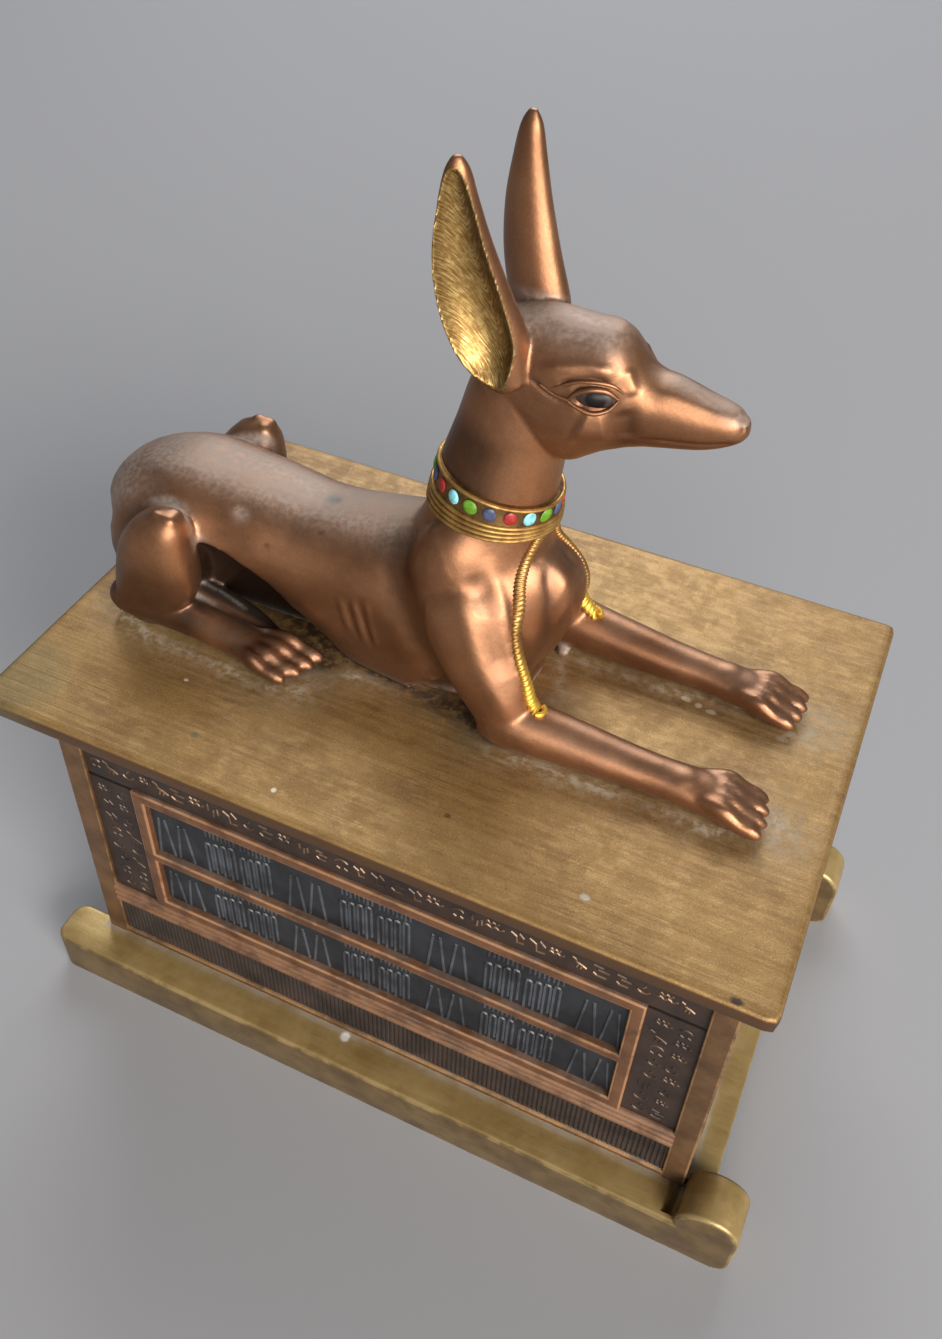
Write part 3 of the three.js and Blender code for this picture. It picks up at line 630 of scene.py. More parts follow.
def add_strokes(shape, strokes, radius, fine=1, matrix=Matrix.Identity(4)):
    """Round raised strokes, each along its own short line of points."""
    lines = bpy.data.curves.new("strokes", "CURVE")
    lines.dimensions = "3D"
    lines.bevel_depth = radius
    lines.bevel_resolution = fine
    lines.use_fill_caps = True
    for stroke in strokes:
        spline = lines.splines.new("POLY")
        spline.points.add(len(stroke) - 1)
        for point, place in zip(spline.points, stroke):
            point.co = (*place, 1)
    holder = placed("strokes", lines)
    mesh = bpy.data.meshes.new_from_object(holder)
    bpy.data.objects.remove(holder)
    bpy.data.curves.remove(lines)
    mesh.transform(matrix)
    shape.from_mesh(mesh)
    bpy.data.meshes.remove(mesh)


def arch(u, foot, top, width):
    """An upright stroke that bends over at the top and comes down again."""
    turn = [(u + width / 2 - math.cos(angle) * width / 2, top - width / 2 + math.sin(angle) * width / 2)
            for angle in np.linspace(0, math.pi, 5)]
    return [(u, foot)] + turn + [(u + width, foot + (top - foot) * 0.12)]


SIGN_GROUPS, FIRST_GROUP = 4, 5.2


def panel_signs():
    """Tents of slanting strokes, and between them pairs of tall arches with small hooks above."""
    shape = bmesh.new()
    for matrix, half in WALLS[:2]:
        opening = frame_half_of(half) - FRAME_BAR
        pitch = (2 * opening - 2 * FIRST_GROUP) / (SIGN_GROUPS - 1)
        strokes, fine = [], []
        for foot, top in PANELS:
            tall = top - foot
            for group in range(SIGN_GROUPS):
                centre = -opening + FIRST_GROUP + group * pitch
                for tent in (-1, 1):
                    for lean in (-1, 1):
                        middle = centre + tent * 2.6
                        strokes.append([(middle + lean * 1.95, foot + 0.4),
                                        (middle + lean * 0.78, foot + tall * 0.7)])
                if group == SIGN_GROUPS - 1:
                    continue
                for side in (-1, 1):
                    left = centre + pitch / 2 + side * 4.4 - 3.8
                    for place in range(4):
                        u = left + place * 2.0
                        strokes.append(arch(u, foot + 0.3, foot + tall * (0.6 + 0.03 * place), 1.25))
                        fine.append(arch(u + 0.5, foot + tall * 0.74, foot + tall * 0.92, 1.1))
        for lines, radius in ((strokes, 0.32), (fine, 0.26)):
            raised = [[(u, v, -PANEL_DEPTH + 0.02) for u, v in line] for line in lines]
            add_strokes(shape, raised, radius, matrix=matrix)
    return shape


def small_sign(dice, u, v, size):
    """One of a few simple marks that are no letters: strokes, bowls, waves and small birds."""
    kind = dice.integers(0, 7)
    scale = size * dice.uniform(0.7, 1.0)
    if kind == 0:
        marks = [[(-0.4, 0.4), (0.1, 0.34)], [(-0.15, 0.1), (0.42, 0.06)],
                 [(-0.4, -0.22), (-0.2, -0.4), (0.3, -0.4)]]
    elif kind == 1:
        marks = [[(-0.3, -0.1), (-0.34, 0.45)], [(0, -0.5), (0.03, 0.1)], [(0.32, -0.25), (0.28, 0.3)]]
    elif kind == 2:
        turns = np.linspace(math.pi + 0.3, 2 * math.pi - 0.3, 6)
        bowl = [(math.cos(turn) * 0.42, math.sin(turn) * 0.4 + 0.05) for turn in turns]
        marks = [bowl, [(-0.05, 0.2), (0.12, 0.42)]]
    elif kind == 3:
        wave = [(step * 0.1 - 0.5, math.sin(step * 1.5) * 0.07) for step in range(11)]
        marks = [wave, [(a * 0.7 - 0.1, b + 0.32) for a, b in wave]]
    elif kind == 4:
        marks = [[(-0.4, 0.35), (-0.05, 0.1), (0, -0.45), (0.42, -0.4)], [(0.1, 0.45), (0.4, 0.1)]]
    elif kind == 5:
        dome = [(math.cos(turn) * 0.42, math.sin(turn) * 0.4) for turn in np.linspace(0.5, 2.64, 6)]
        marks = [dome, [(-0.3, -0.3), (-0.1, -0.42)], [(0.15, -0.28), (0.36, -0.4)]]
    else:
        marks = [[(-0.45, 0.42), (-0.22, 0.3), (-0.12, 0.02), (0.2, -0.1), (0.5, -0.3)],
                 [(-0.02, -0.14), (-0.1, -0.48)], [(0.2, -0.18), (0.16, -0.5)]]
    return [[(u + a * scale, v + b * scale) for a, b in mark] for mark in marks]


# How far apart the small signs stand, and where their rows and columns lie
SIGN_STEP_ALONG, SIGN_STEP_UP = 4.3, 4.9
SIGN_ROWS, SIGN_COLUMNS = (4.2, 9.6), (-2.1, 2.3)


def places_above(half):
    """Two rows of signs in the band over the frame."""
    reach = between_posts(half, FRAME_TOP) - 2.5
    return [(u, FRAME_TOP + row) for u in np.arange(-reach, reach, SIGN_STEP_ALONG) for row in SIGN_ROWS]


def places_beside(half):
    """Two columns of signs on each side of the frame."""
    middle = frame_half_of(half) + SIDE_BAND / 2
    return [(side * middle + step, v) for side in (-1, 1)
            for v in np.arange(FRAME_FOOT + 3.5, FRAME_TOP - 1, SIGN_STEP_UP) for step in SIGN_COLUMNS]


def inscriptions(places_on, size, seed):
    """Small raised marks at the given places of every wall."""
    shape = bmesh.new()
    dice = np.random.default_rng(seed)
    for matrix, half in WALLS:
        strokes = []
        for u, v in places_on(half):
            strokes += small_sign(dice, u + dice.uniform(-0.4, 0.4), v, size)
        raised = [[(u, v, -BAND_DEPTH) for u, v in line] for line in strokes]
        add_strokes(shape, raised, 0.22, matrix=matrix)
    return shape


REED_STEP, REED_RADIUS = 1.12, 0.47


def reeds():
    """A row of upright reeds, side by side along the foot of each wall."""
    shape = bmesh.new()
    for matrix, half in WALLS:
        reach = between_posts(half, 8) - 0.4
        count = round(2 * reach / REED_STEP)
        row = [[(u, BASE_RAIL - 0.2, -BAND_DEPTH - 0.12), (u, RIDGED_FOOT + 0.3, -BAND_DEPTH - 0.12)]
               for u in np.linspace(-reach, reach, count)]
        add_strokes(shape, row, REED_RADIUS, matrix=matrix)
    return shape


def chest_paint(name, dark, light, rubbed, dust, metallic, roughness):
    """Two tones of metallic paint, rubbed bright on worn edges and dusty where it faces up."""
    material, tree, shader = new_material(name, metallic, roughness)
    paint = use_group(tree, PAINTED_RESIN, Cloud_size=130.0, Grain_size=2400.0)
    colour = blend(tree, paint["Cloud"], dark, light)
    grit = tuple(value * 0.45 for value in dark)
    colour = blend(tree, times(tree, paint["Grain"], 0.25), colour, grit)
    bare = times(tree, mark_of(tree, "worn"), remap(tree, paint["Cloud"], 0.1, 0.75, 0.25, 1.0), clamp=True)
    colour = blend(tree, bare, colour, rubbed)
    lying = use_group(tree, SETTLED_DUST, Amount=dust, Patch_size=220.0)["Dust"]
    colour = blend(tree, lying, colour, (0.30, 0.29, 0.26))
    tree.links.new(colour, shader.inputs["Base Color"])
    tree.links.new(remap(tree, lying, 0.0, 1.0, roughness, 0.85), shader.inputs["Roughness"])
    tree.links.new(remap(tree, lying, 0.0, 1.0, metallic, 0.0), shader.inputs["Metallic"])
    bump(tree, shader, paint["Height"], 0.22)
    return material


panel_paint = chest_paint("blue_black_panel_paint", (0.008, 0.009, 0.011), (0.022, 0.024, 0.028),
                          (0.1, 0.1, 0.11), 0.25, 0.2, 0.5)
piece("box_walls", box_walls(), panel_paint, replaces=["chest"])
# The relief on the walls, each with its paint: dark, light and rubbed tone, dust, metal, roughness
for name, shape, *finish in (
    ("posts_and_rails", posts_and_rails(), "brown_post_paint",
     (0.075, 0.036, 0.015), (0.15, 0.078, 0.031), (0.3, 0.165, 0.072), 0.2, 0.35, 0.5),
    ("inscription_bands", inscription_bands(), "dark_band_paint",
     (0.02, 0.012, 0.009), (0.045, 0.026, 0.018), (0.2, 0.12, 0.07), 0.2, 0.3, 0.55),
    ("panel_frames", panel_frames(), "copper_frame_paint",
     (0.07, 0.029, 0.013), (0.16, 0.07, 0.03), (0.3, 0.15, 0.068), 0.2, 0.25, 0.5),
    ("panel_signs", panel_signs(), "panel_sign_paint",
     (0.024, 0.026, 0.03), (0.085, 0.092, 0.105), (0.2, 0.2, 0.22), 0.6, 0.3, 0.5),
    ("inscriptions", inscriptions(places_above, 4.2, 41), "rubbed_mark_paint",
     (0.045, 0.024, 0.014), (0.3, 0.175, 0.1), (0.5, 0.35, 0.25), 0.15, 0.5, 0.42),
    ("side_inscriptions", inscriptions(places_beside, 3.9, 43), "dull_mark_paint",
     (0.026, 0.015, 0.01), (0.12, 0.07, 0.04), (0.3, 0.2, 0.14), 0.2, 0.5, 0.5),
    ("reeds", reeds(), "reed_paint",
     (0.022, 0.017, 0.016), (0.055, 0.042, 0.038), (0.12, 0.085, 0.07), 0.3, 0.3, 0.5),
):
    piece(name, shape, chest_paint(*finish))


# The sledge: two runners with an upturned roll at the front, cast in one with the box's floor,
# with a step between them at the front. Brass paint on top, rubbed, and a darker brown on the sides as
# painted shade.
SLEDGE_LENGTH = 178.0
SLEDGE_WIDTH = 108.2
RUNNER_WIDTH = 11.0
ROLL_RADIUS = 7.1
ROLL_X = SLEDGE_LENGTH / 2 - ROLL_RADIUS
ROLL_RISE = 1.7
ROLL_Z = DECK_TOP + ROLL_RISE
TOE = 4.6
NOTCH = 3.2
REAR_ROUND = 3.4
RUNNER_ROUND = 0.95
STEP_REACH = 6.3


def solved(shape, kinds):
    """A shape after the given modifiers, as a new shape in the same units."""
    mesh = as_mesh("clay", shape)
    clay = placed("clay", mesh)
    for kind, settings in kinds:
        modifier = clay.modifiers.new(kind, kind)
        for key, value in settings.items():
            setattr(modifier, key, value)
    graph = bpy.context.evaluated_depsgraph_get()
    result = bpy.data.meshes.new_from_object(clay.evaluated_get(graph))
    bpy.data.objects.remove(clay)
    bpy.data.meshes.remove(mesh)
    return result


def cut_away(shape, hollow):
    """What is left of a shape after another is taken out of it."""
    cutter = placed("cutter", as_mesh("cutter", hollow))
    cut = solved(shape, [("BOOLEAN", {"object": cutter, "operation": "DIFFERENCE", "solver": "EXACT"})])
    bpy.data.objects.remove(cutter)
    return cut


def arc(x, z, radius, start, end, steps):
    """Points round a part of a circle, seen from the side."""
    turns = np.linspace(start, end, steps)
    return [(x + math.cos(turn) * radius, z + math.sin(turn) * radius) for turn in turns]


def runner(side):
    """The side outline of a runner, drawn out to its width, with a round notch behind the roll."""
    meets = math.pi + math.asin(ROLL_RISE / ROLL_RADIUS)
    outline = arc(SLEDGE_LENGTH / 2 - TOE, TOE, TOE, -math.pi / 2, 0, 9)
    outline += arc(ROLL_X, ROLL_Z, ROLL_RADIUS, 0, meets, 25)
    outline += [(-SLEDGE_LENGTH / 2 + 12 * share, DECK_TOP) for share in (5, 1, 0.5)]
    outline += [(-SLEDGE_LENGTH / 2, DECK_TOP), (-SLEDGE_LENGTH / 2, 0)]
    shape = bmesh.new()
    shape.faces.layers.float.new("worn")
    outer = side * SLEDGE_WIDTH / 2
    face = shape.faces.new([shape.verts.new((x, outer, z)) for x, z in outline])
    drawn = bmesh.ops.extrude_face_region(shape, geom=[face])["geom"]
    bmesh.ops.translate(shape, vec=(0, -side * RUNNER_WIDTH, 0),
                        verts=[part for part in drawn if isinstance(part, bmesh.types.BMVert)])
    bmesh.ops.recalc_face_normals(shape, faces=shape.faces)
    rear = [edge for edge in shape.edges
            if all(abs(vert.co.x + SLEDGE_LENGTH / 2) < 0.01 for vert in edge.verts)
            and abs(edge.verts[0].co.z - edge.verts[1].co.z) > 5]
    bmesh.ops.bevel(shape, geom=rear, offset=REAR_ROUND, affect="EDGES",
                    segments=5, profile=0.5, material=-1)
    round_edges(shape, [edge for edge in shape.edges if edge.calc_face_angle(0) > 1.2], RUNNER_ROUND, 4)
    notch = bmesh.new()
    turn = Matrix.Translation((ROLL_X - ROLL_RADIUS, side * (SLEDGE_WIDTH / 2 - 1.6 - RUNNER_WIDTH / 2),
                               DECK_TOP + NOTCH / 4)) @ Matrix.Rotation(math.pi / 2, 4, "X")
    bmesh.ops.create_cone(notch, cap_ends=True, segments=40, radius1=NOTCH, radius2=NOTCH,
                          depth=RUNNER_WIDTH, matrix=turn)
    bmesh.ops.triangulate(shape, faces=[face for face in shape.faces if len(face.verts) > 4])
    return cut_away(shape, notch)


def sledge():
    shape = bmesh.new()
    for side in (-1, 1):
        shape.from_mesh(runner(side))
    inner = SLEDGE_WIDTH / 2 - RUNNER_WIDTH + 0.4
    add_block(shape, Matrix.Identity(4), (CHEST_X - HALF_LENGTH - BATTER, -inner, 5),
              (CHEST_X + HALF_LENGTH + BATTER + STEP_REACH, inner, DECK_TOP), rounding=0.5)
    return shape


def brass_runner_paint():
    """Brass where the paint was brushed on top, and the upright sides a darker brown as painted shade."""
    material, tree, shader = new_material("brass_runner_paint", 0.5, 0.42)
    paint = use_group(tree, PAINTED_RESIN, Cloud_size=110.0, Grain_size=2000.0)
    lines = use_group(tree, BRUSHED_GRAIN, Line_length=30.0, Line_width=420.0)["Lines"]
    turned = split(tree, facing_of(tree))
    side = sums(tree, "ABSOLUTE", turned["Y"])
    brown = blend(tree, paint["Cloud"], (0.1, 0.06, 0.025), (0.19, 0.125, 0.05))
    brass = blend(tree, paint["Cloud"], (0.26, 0.165, 0.055), (0.4, 0.28, 0.11))
    brass = blend(tree, times(tree, lines, 0.3), brass, (0.44, 0.32, 0.14))
    # The upright sides take the darker brown as painted shade.
    colour = blend(tree, remap(tree, side, 0.45, 0.9), brass, brown)
    bare = times(tree, mark_of(tree, "worn"), remap(tree, paint["Cloud"], 0.2, 0.8, 0.1, 0.6), clamp=True)
    colour = blend(tree, bare, colour, (0.42, 0.3, 0.13))
    place = split(tree, place_on(tree))
    along = sums(tree, "ABSOLUTE", minus(tree, place["X"], CHEST_X * MM))
    past_end = minus(tree, along, (HALF_LENGTH + BATTER) * MM)
    past_side = minus(tree, sums(tree, "ABSOLUTE", place["Y"]), (HALF_WIDTH + BATTER) * MM)
    by_wall = remap(tree, sums(tree, "MAXIMUM", past_end, past_side), 0.0021, 0.0002)
    top = remap(tree, turned["Z"], 0.8, 0.98)
    grey = times(tree, times(tree, by_wall, top), remap(tree, paint["Cloud"], 0.1, 0.9, 0.35, 0.85))
    colour = blend(tree, grey, colour, (0.33, 0.3, 0.25))
    speck = near_spot(tree, (-0.0091, -0.0468, DECK_TOP * MM), (0.0011, 0.0011, 0.0011))
    colour = blend(tree, speck, colour, (0.85, 0.85, 0.8))
    tree.links.new(colour, shader.inputs["Base Color"])
    tree.links.new(remap(tree, grey, 0.0, 1.0, 0.4, 0.75), shader.inputs["Roughness"])
    bump(tree, shader, plus(tree, lines, paint["Height"]), 0.2)
    return material


piece("sledge", sledge(), brass_runner_paint())


# The jackal's body: one resin casting of trunk, legs, tail and neck, glued to the lid.
# Its limbs are drawn as stations along them, run together like clay, and then creased one by one.
# A station is a place in millimetres, half the limb's width there, and its reach fore and back.
SEAT_GAP = 0.3
FIGURE = Vector((0, 0, LID_TOP + SEAT_GAP))


def curve_through(stations, rows):
    """Rows along a smooth curve through the stations."""
    known = np.asarray(stations, float)
    known = np.vstack([2 * known[0] - known[1], known, 2 * known[-1] - known[-2]])
    result = []
    for row in range(rows + 1):
        along = row / rows * (len(stations) - 1)
        index = min(int(along), len(stations) - 2)
        part = along - index
        a, b, c, d = known[index:index + 4]
        bend, twist = 2 * a - 5 * b + 4 * c - d, 3 * b - a - 3 * c + d
        result.append(0.5 * (2 * b + (c - a) * part + bend * part * part + twist * part ** 3))
    return np.array(result)


UPWARD = Vector((0, 0, 1))
FORWARD = Vector((1, 0, 0))


def add_ring(shape, sides, place_at):
    """A ring of edges, each corner at the place that belongs to its turn."""
    circle = bmesh.ops.create_circle(shape, cap_ends=False, radius=1, segments=sides)["verts"]
    for step, vert in enumerate(circle):
        vert.co = place_at(2 * math.pi * step / sides)
    return list({edge for vert in circle for edge in vert.link_edges})


def bridge_rings(shape, rings):
    """Joins each ring to the next, and closes both ends."""
    for first, second in zip(rings, rings[1:]):
        bmesh.ops.bridge_loops(shape, edges=first + second)
    for end in (rings[0], rings[-1]):
        bmesh.ops.edgeloop_fill(shape, edges=end)


def add_limb(shape, stations, rows=24, sides=28, lead=UPWARD, square=1.0, side=1):
    """A closed limb: rings of points round a curve, bridged one to the next."""
    table = curve_through(stations, rows)
    table[:, 1] *= side
    table[:, 3:] = np.maximum(table[:, 3:], 0.2)
    rings = []
    for row, (x, y, z, wide, fore, back) in enumerate(table):
        before, after = table[max(row - 1, 0)], table[min(row + 1, rows)]
        tangent = Vector(after[:3] - before[:3]).normalized()
        across = lead.cross(tangent).normalized()
        out = tangent.cross(across)

        def on_ring(turn):
            cos, sin = math.cos(turn), math.sin(turn)
            reach = math.copysign(abs(cos) ** square, cos) * wide
            rise = math.copysign(abs(sin) ** square, sin) * (fore if sin > 0 else back)
            return Vector((x, y, z)) + across * reach + out * rise

        rings.append(add_ring(shape, sides, on_ring))
    bridge_rings(shape, rings)


def add_ball(shape, place, radii, detail=16):
    matrix = Matrix.Translation(place) @ Matrix.Diagonal((*radii, 1))
    bmesh.ops.create_uvsphere(shape, u_segments=detail, v_segments=detail // 2, radius=1, matrix=matrix)


TORSO = [
    [-83.7, 0, 14.6, 3, 3, 4.1],
    [-80.7, 0, 15.6, 9.1, 9.1, 13.2],
    [-72.7, 0, 17.6, 14.2, 13.7, 20.3],
    [-61.7, 0, 18.7, 15.7, 15.6, 18.3],
    [-47.7, 0, 20.2, 13.8, 13.2, 8.1],
    [-33.7, 0, 18.7, 12.8, 13.6, 16.3],
    [-17.7, 0, 18.7, 13, 16.3, 34.5],
    [-3.7, 0, 19.7, 14.4, 18.7, 36.6],
    [8.3, 0, 21.7, 14.2, 18.9, 32.5],
    [15.8, 0, 21.7, 9.7, 14.2, 24.4],
    [19.8, 0, 20.7, 3.6, 6.1, 9.1],
]
NECK = [
    [-0.7, 0, 24.8, 13.7, 14.2, 13.2],
    [1.1, 0, 33.9, 12.8, 14.2, 13.6],
    [2.6, 0, 43.1, 10.4, 11.8, 11.8],
    [3.3, 0, 51.2, 9.1, 11.2, 11],
    [4.9, 0, 59.3, 8.5, 10.4, 10],
    [7.3, 0, 68.5, 8.1, 8.1, 9.6],
    [9.3, 0, 76.6, 6.1, 5.1, 7.1],
]
UPPER_FORELEG = [
    [-1.3, 10.7, 34.9, 3, 5.1, 5.1],
    [1.9, 12.4, 27.8, 5.1, 9.1, 9.1],
    [7.3, 14.2, 18.1, 5.5, 8.1, 8.7],
    [12.5, 15.6, 9.5, 5.1, 6.7, 6.7],
    [14.9, 16.1, 3.4, 4.5, 5.1, 5.1],
]
LOWER_FORELEG = [
    [9.3, 16.1, 5, 3.7, 3.7, 4.7],
    [14.3, 16.1, 5.8, 5.1, 5.5, 5.9],
    [26.3, 15.6, 5.2, 4.8, 4.8, 5.3],
    [38.3, 15.3, 4.6, 4.2, 3.8, 4.5],
    [46.3, 15.1, 4.4, 3.9, 3.4, 4.3],
    [54.3, 14.8, 3.9, 4.6, 3.1, 3.8],
    [60.3, 14.6, 3, 5, 2.3, 3],
    [62.6, 14.6, 2.4, 4.2, 1.5, 2.3],
]
HAUNCH = [
    [-70.2, 16.9, 1.4, 4.1, 6.6, 4.7],
    [-68.3, 17.3, 8.5, 5.1, 9.6, 6.6],
    [-64.3, 17.5, 16.6, 5.7, 10.2, 8.4],
    [-61.5, 17.5, 23.4, 5.4, 7.4, 7.6],
    [-59.4, 17.4, 28, 4.5, 4.8, 5.4],
    [-58.6, 17.4, 30.8, 2.6, 2.4, 2.8],
    [-58.5, 17.4, 31.6, 0.9, 0.8, 0.9],
]
HIND_FOOT = [
    [-76.7, 17.7, 3.8, 2.4, 2.4, 3.3],
    [-72.7, 17.7, 4.4, 3.9, 4.1, 4.3],
    [-57.7, 17.8, 4.2, 3.8, 3.9, 4.1],
    [-45.7, 18.7, 4, 3.9, 3.5, 3.9],
    [-40.5, 19, 3.4, 4.3, 2.9, 3.3],
    [-36.5, 19, 2.8, 4, 1.8, 2.7],
]
SHANK = [
    [-68, 11.5, 5, 4, 5, 5],
    [-57, 11.4, 3.8, 4.4, 3.6, 4],
    [-48, 12.2, 2.8, 4, 2.6, 3],
    [-41, 13.6, 1.8, 3, 1.9, 2],
    [-36, 15, 1, 1.6, 1, 1.2],
]
TAIL = [
    [-79, 3, 13, 2.4, 3, 3],
    [-83, 8, 5, 2.6, 2.4, 2.6],
    [-82, 18, 2.2, 2.4, 2.2, 2.6],
    [-74, 26, 2, 2.2, 2, 2.4],
    [-62, 28.6, 1.8, 2, 1.8, 2.2],
    [-52, 28.8, 1.2, 1, 1, 1.4],
]


# A toe's stations: from the start or the end of the toe, how far it spreads from the next, how far
# it lies below the paw's top, and its half width, fore and back
TOE_STATIONS = (
    ("start", -9.5, 1.7, 0.5, 1.6, 1.5, 2.2),
    ("start", -6, 2.3, 0, 1.6, 1.6, 3),
    ("end", -2.8, 2.75, 0.1, 1.5, 1.75, 3.4),
    ("end", 0, 2.9, 1.5, 1.36, 1.4, 2.4),
    ("end", 2.4, 2.95, 2.2, 1.34, 1.5, 2.2),
    ("end", 4.2, 2.95, 2.8, 1.08, 1.0, 1.6),
    ("end", 4.9, 2.95, 3.1, 0.6, 0.5, 0.8),
)


def add_paw(shape, x, y, side, slant, top):
    """Four long toes side by side, each with a knuckle and a rounded end, and the bones behind them."""
    for toe in range(4):
        place = (toe - 1.5) * side
        from_end = {"start": x + slant * -side * place * 0.4,
                    "end": x + slant * -side * place - (0.6 if abs(place) > 1 else 0)}
        add_limb(shape, [[from_end[end] + ahead, y * side + place * spread, top - below, *reaches]
                         for end, ahead, spread, below, *reaches in TOE_STATIONS], rows=20, sides=14)


# The hollow in front of each haunch, under the flank's edge, as deep as the belly's wall
FLANK_HOLLOW = [
    [-61, 16.5, 9, 7.5, 12, 12],
    [-54.5, 16, 10, 8, 13.4, 12],
    [-48.5, 15.8, 9, 7.9, 11.4, 11],
    [-44.6, 15.2, 7, 7.6, 9.8, 9],
    [-41, 14, 3, 6.8, 7.4, 6],
    [-37.5, 12.5, -1, 5, 2.8, 3],
]

# A low arch behind each elbow, where the trunk stands off the lid
ELBOW_HOLLOW = [
    [-9, 13, -1, 2.6, 2.4, 2],
    [-3.5, 13.7, 0.4, 4.4, 4.4, 3],
    [2, 14.3, 1.3, 5.6, 6, 4],
    [7, 15.4, 1.2, 5.6, 6, 4],
    [11, 17, 0, 4.2, 4.4, 3],
    [14, 18.4, -1, 2.2, 2.4, 2],
]


def hollowed_trunk():
    trunk, hollow = bmesh.new(), bmesh.new()
    add_limb(trunk, TORSO, rows=40, sides=40, square=0.88)
    for side in (-1, 1):
        add_limb(hollow, FLANK_HOLLOW, side=side)
        add_limb(hollow, ELBOW_HOLLOW, side=side)
    bmesh.ops.recalc_face_normals(trunk, faces=trunk.faces)
    bmesh.ops.recalc_face_normals(hollow, faces=hollow.faces)
    return cut_away(trunk, hollow)


# Balls that fill out the rump and the shoulder: their place and their reach each way
RUMP_AND_SHOULDER = (
    (-67, 8.5, 15, 10, 9, 14),
    (-71, 9, 14.6, 9.2, 8.6, 13),
    (-73.5, 5.5, 16.5, 8.6, 8, 12),
    (-1, 9.6, 29, 9.5, 6, 15),
)
FAR_BREAST = (14.8, 6, 24)
GLUE_LUMPS = (((15.6, 11.6, 0.3), (1.6, 1.3, 1.0)), ((14.4, 13.2, 0.9), (1.2, 1.0, 0.9)))
BODY_VOXEL = 0.56


def body_clay():
    shape = bmesh.new()
    shape.from_mesh(hollowed_trunk())
    add_limb(shape, NECK[:3] + [[2.9, 0, 46.8, 9.6, 11.3, 11.3]], rows=16, sides=36, lead=FORWARD)
    add_limb(shape, TAIL, rows=30, sides=16)
    add_block(shape, Matrix.Identity(4), (-66, -4.5, -1), (-30, 4.5, 18), rounding=1.5)
    for side in (-1, 1):
        add_limb(shape, UPPER_FORELEG, lead=FORWARD, side=side)
        add_limb(shape, LOWER_FORELEG, side=side)
        add_limb(shape, HAUNCH, lead=FORWARD, square=0.86, side=side)
        add_limb(shape, HIND_FOOT, side=side)
        add_limb(shape, SHANK, side=side)
        for x, y, z, *radii in RUMP_AND_SHOULDER:
            add_ball(shape, (x, side * y, z), radii, detail=24)
        add_ball(shape, (49.6, side * 15.1, 5.9), (4, 3.1, 1.9))
        add_paw(shape, 61.6, 14.6, side, -0.3, 5)
        add_paw(shape, -33.9, 19.0, side, 1.3, 4.7)
    add_ball(shape, FAR_BREAST, (5.4, 5, 10), detail=24)
    for place, radii in GLUE_LUMPS:
        add_ball(shape, place, radii)
    return shape


def fused(shape, voxel, rounds):
    return solved(shape, [
        ("REMESH", {"mode": "VOXEL", "voxel_size": voxel}),
        ("SMOOTH", {"factor": 0.5, "iterations": rounds}),
    ])


def ramp(values, start, end):
    """Rises from 0 to 1 as the values go from the start to the end."""
    return np.clip((values - start) / (end - start), 0, 1)


MARKS = ("dark", "dust", "gold", "hair_along", "hair_across")


class Skin:
    """The clay's points, ready to be pressed and pulled along lines, with its marks of painted shade and
    dirt, dust, gold and hair.
    """

    def __init__(self, mesh):
        self.mesh = mesh
        self.points = points_of(mesh)
        normals = np.empty(len(self.points) * 3, np.float32)
        mesh.vertex_normals.foreach_get("vector", normals)
        self.normals = normals.reshape(-1, 3).astype(float)
        self.marks = {name: np.zeros(len(self.points)) for name in MARKS}

    def mark(self, name, values):
        """Adds to a mark where the new values are stronger."""
        self.marks[name] = np.maximum(self.marks[name], values)

    def crease(self, line, width, depth, dark=0.0, dust=0.0, fade=True, sides=(-1, 1), rows=18):
        """Presses a soft groove along a line, or raises a ridge where the depth is negative."""
        for side in sides:
            bent = curve_through([(x, -y * side, z) for x, y, z in line], rows)
            away, share = along_line(self.points, bent)
            strength = np.exp(-(away / width) ** 2)
            if fade:
                strength *= np.clip(np.sin(math.pi * np.clip(share, 0.02, 0.98)) * 1.6, 0, 1)
            self.points -= self.normals * (strength * depth)[:, None]
            wider = np.exp(-(away / (width * 1.25)) ** 2) if dark or dust else 0
            self.mark("dark", wider * dark)
            self.mark("dust", wider * dust)

    def finished(self, name, paint, replaces=()):
        lifted = self.points + np.array(FIGURE)
        lifted[:, 2] = np.maximum(lifted[:, 2], LID_TOP - 0.02)
        self.mesh.vertices.foreach_set("co", lifted.astype(np.float32).ravel())
        shape = bmesh.new()
        shape.from_mesh(self.mesh)
        made = piece(name, shape, paint, replaces, sharp=80)
        for mark, values in self.marks.items():
            add_attribute(made, mark, values)
        return made


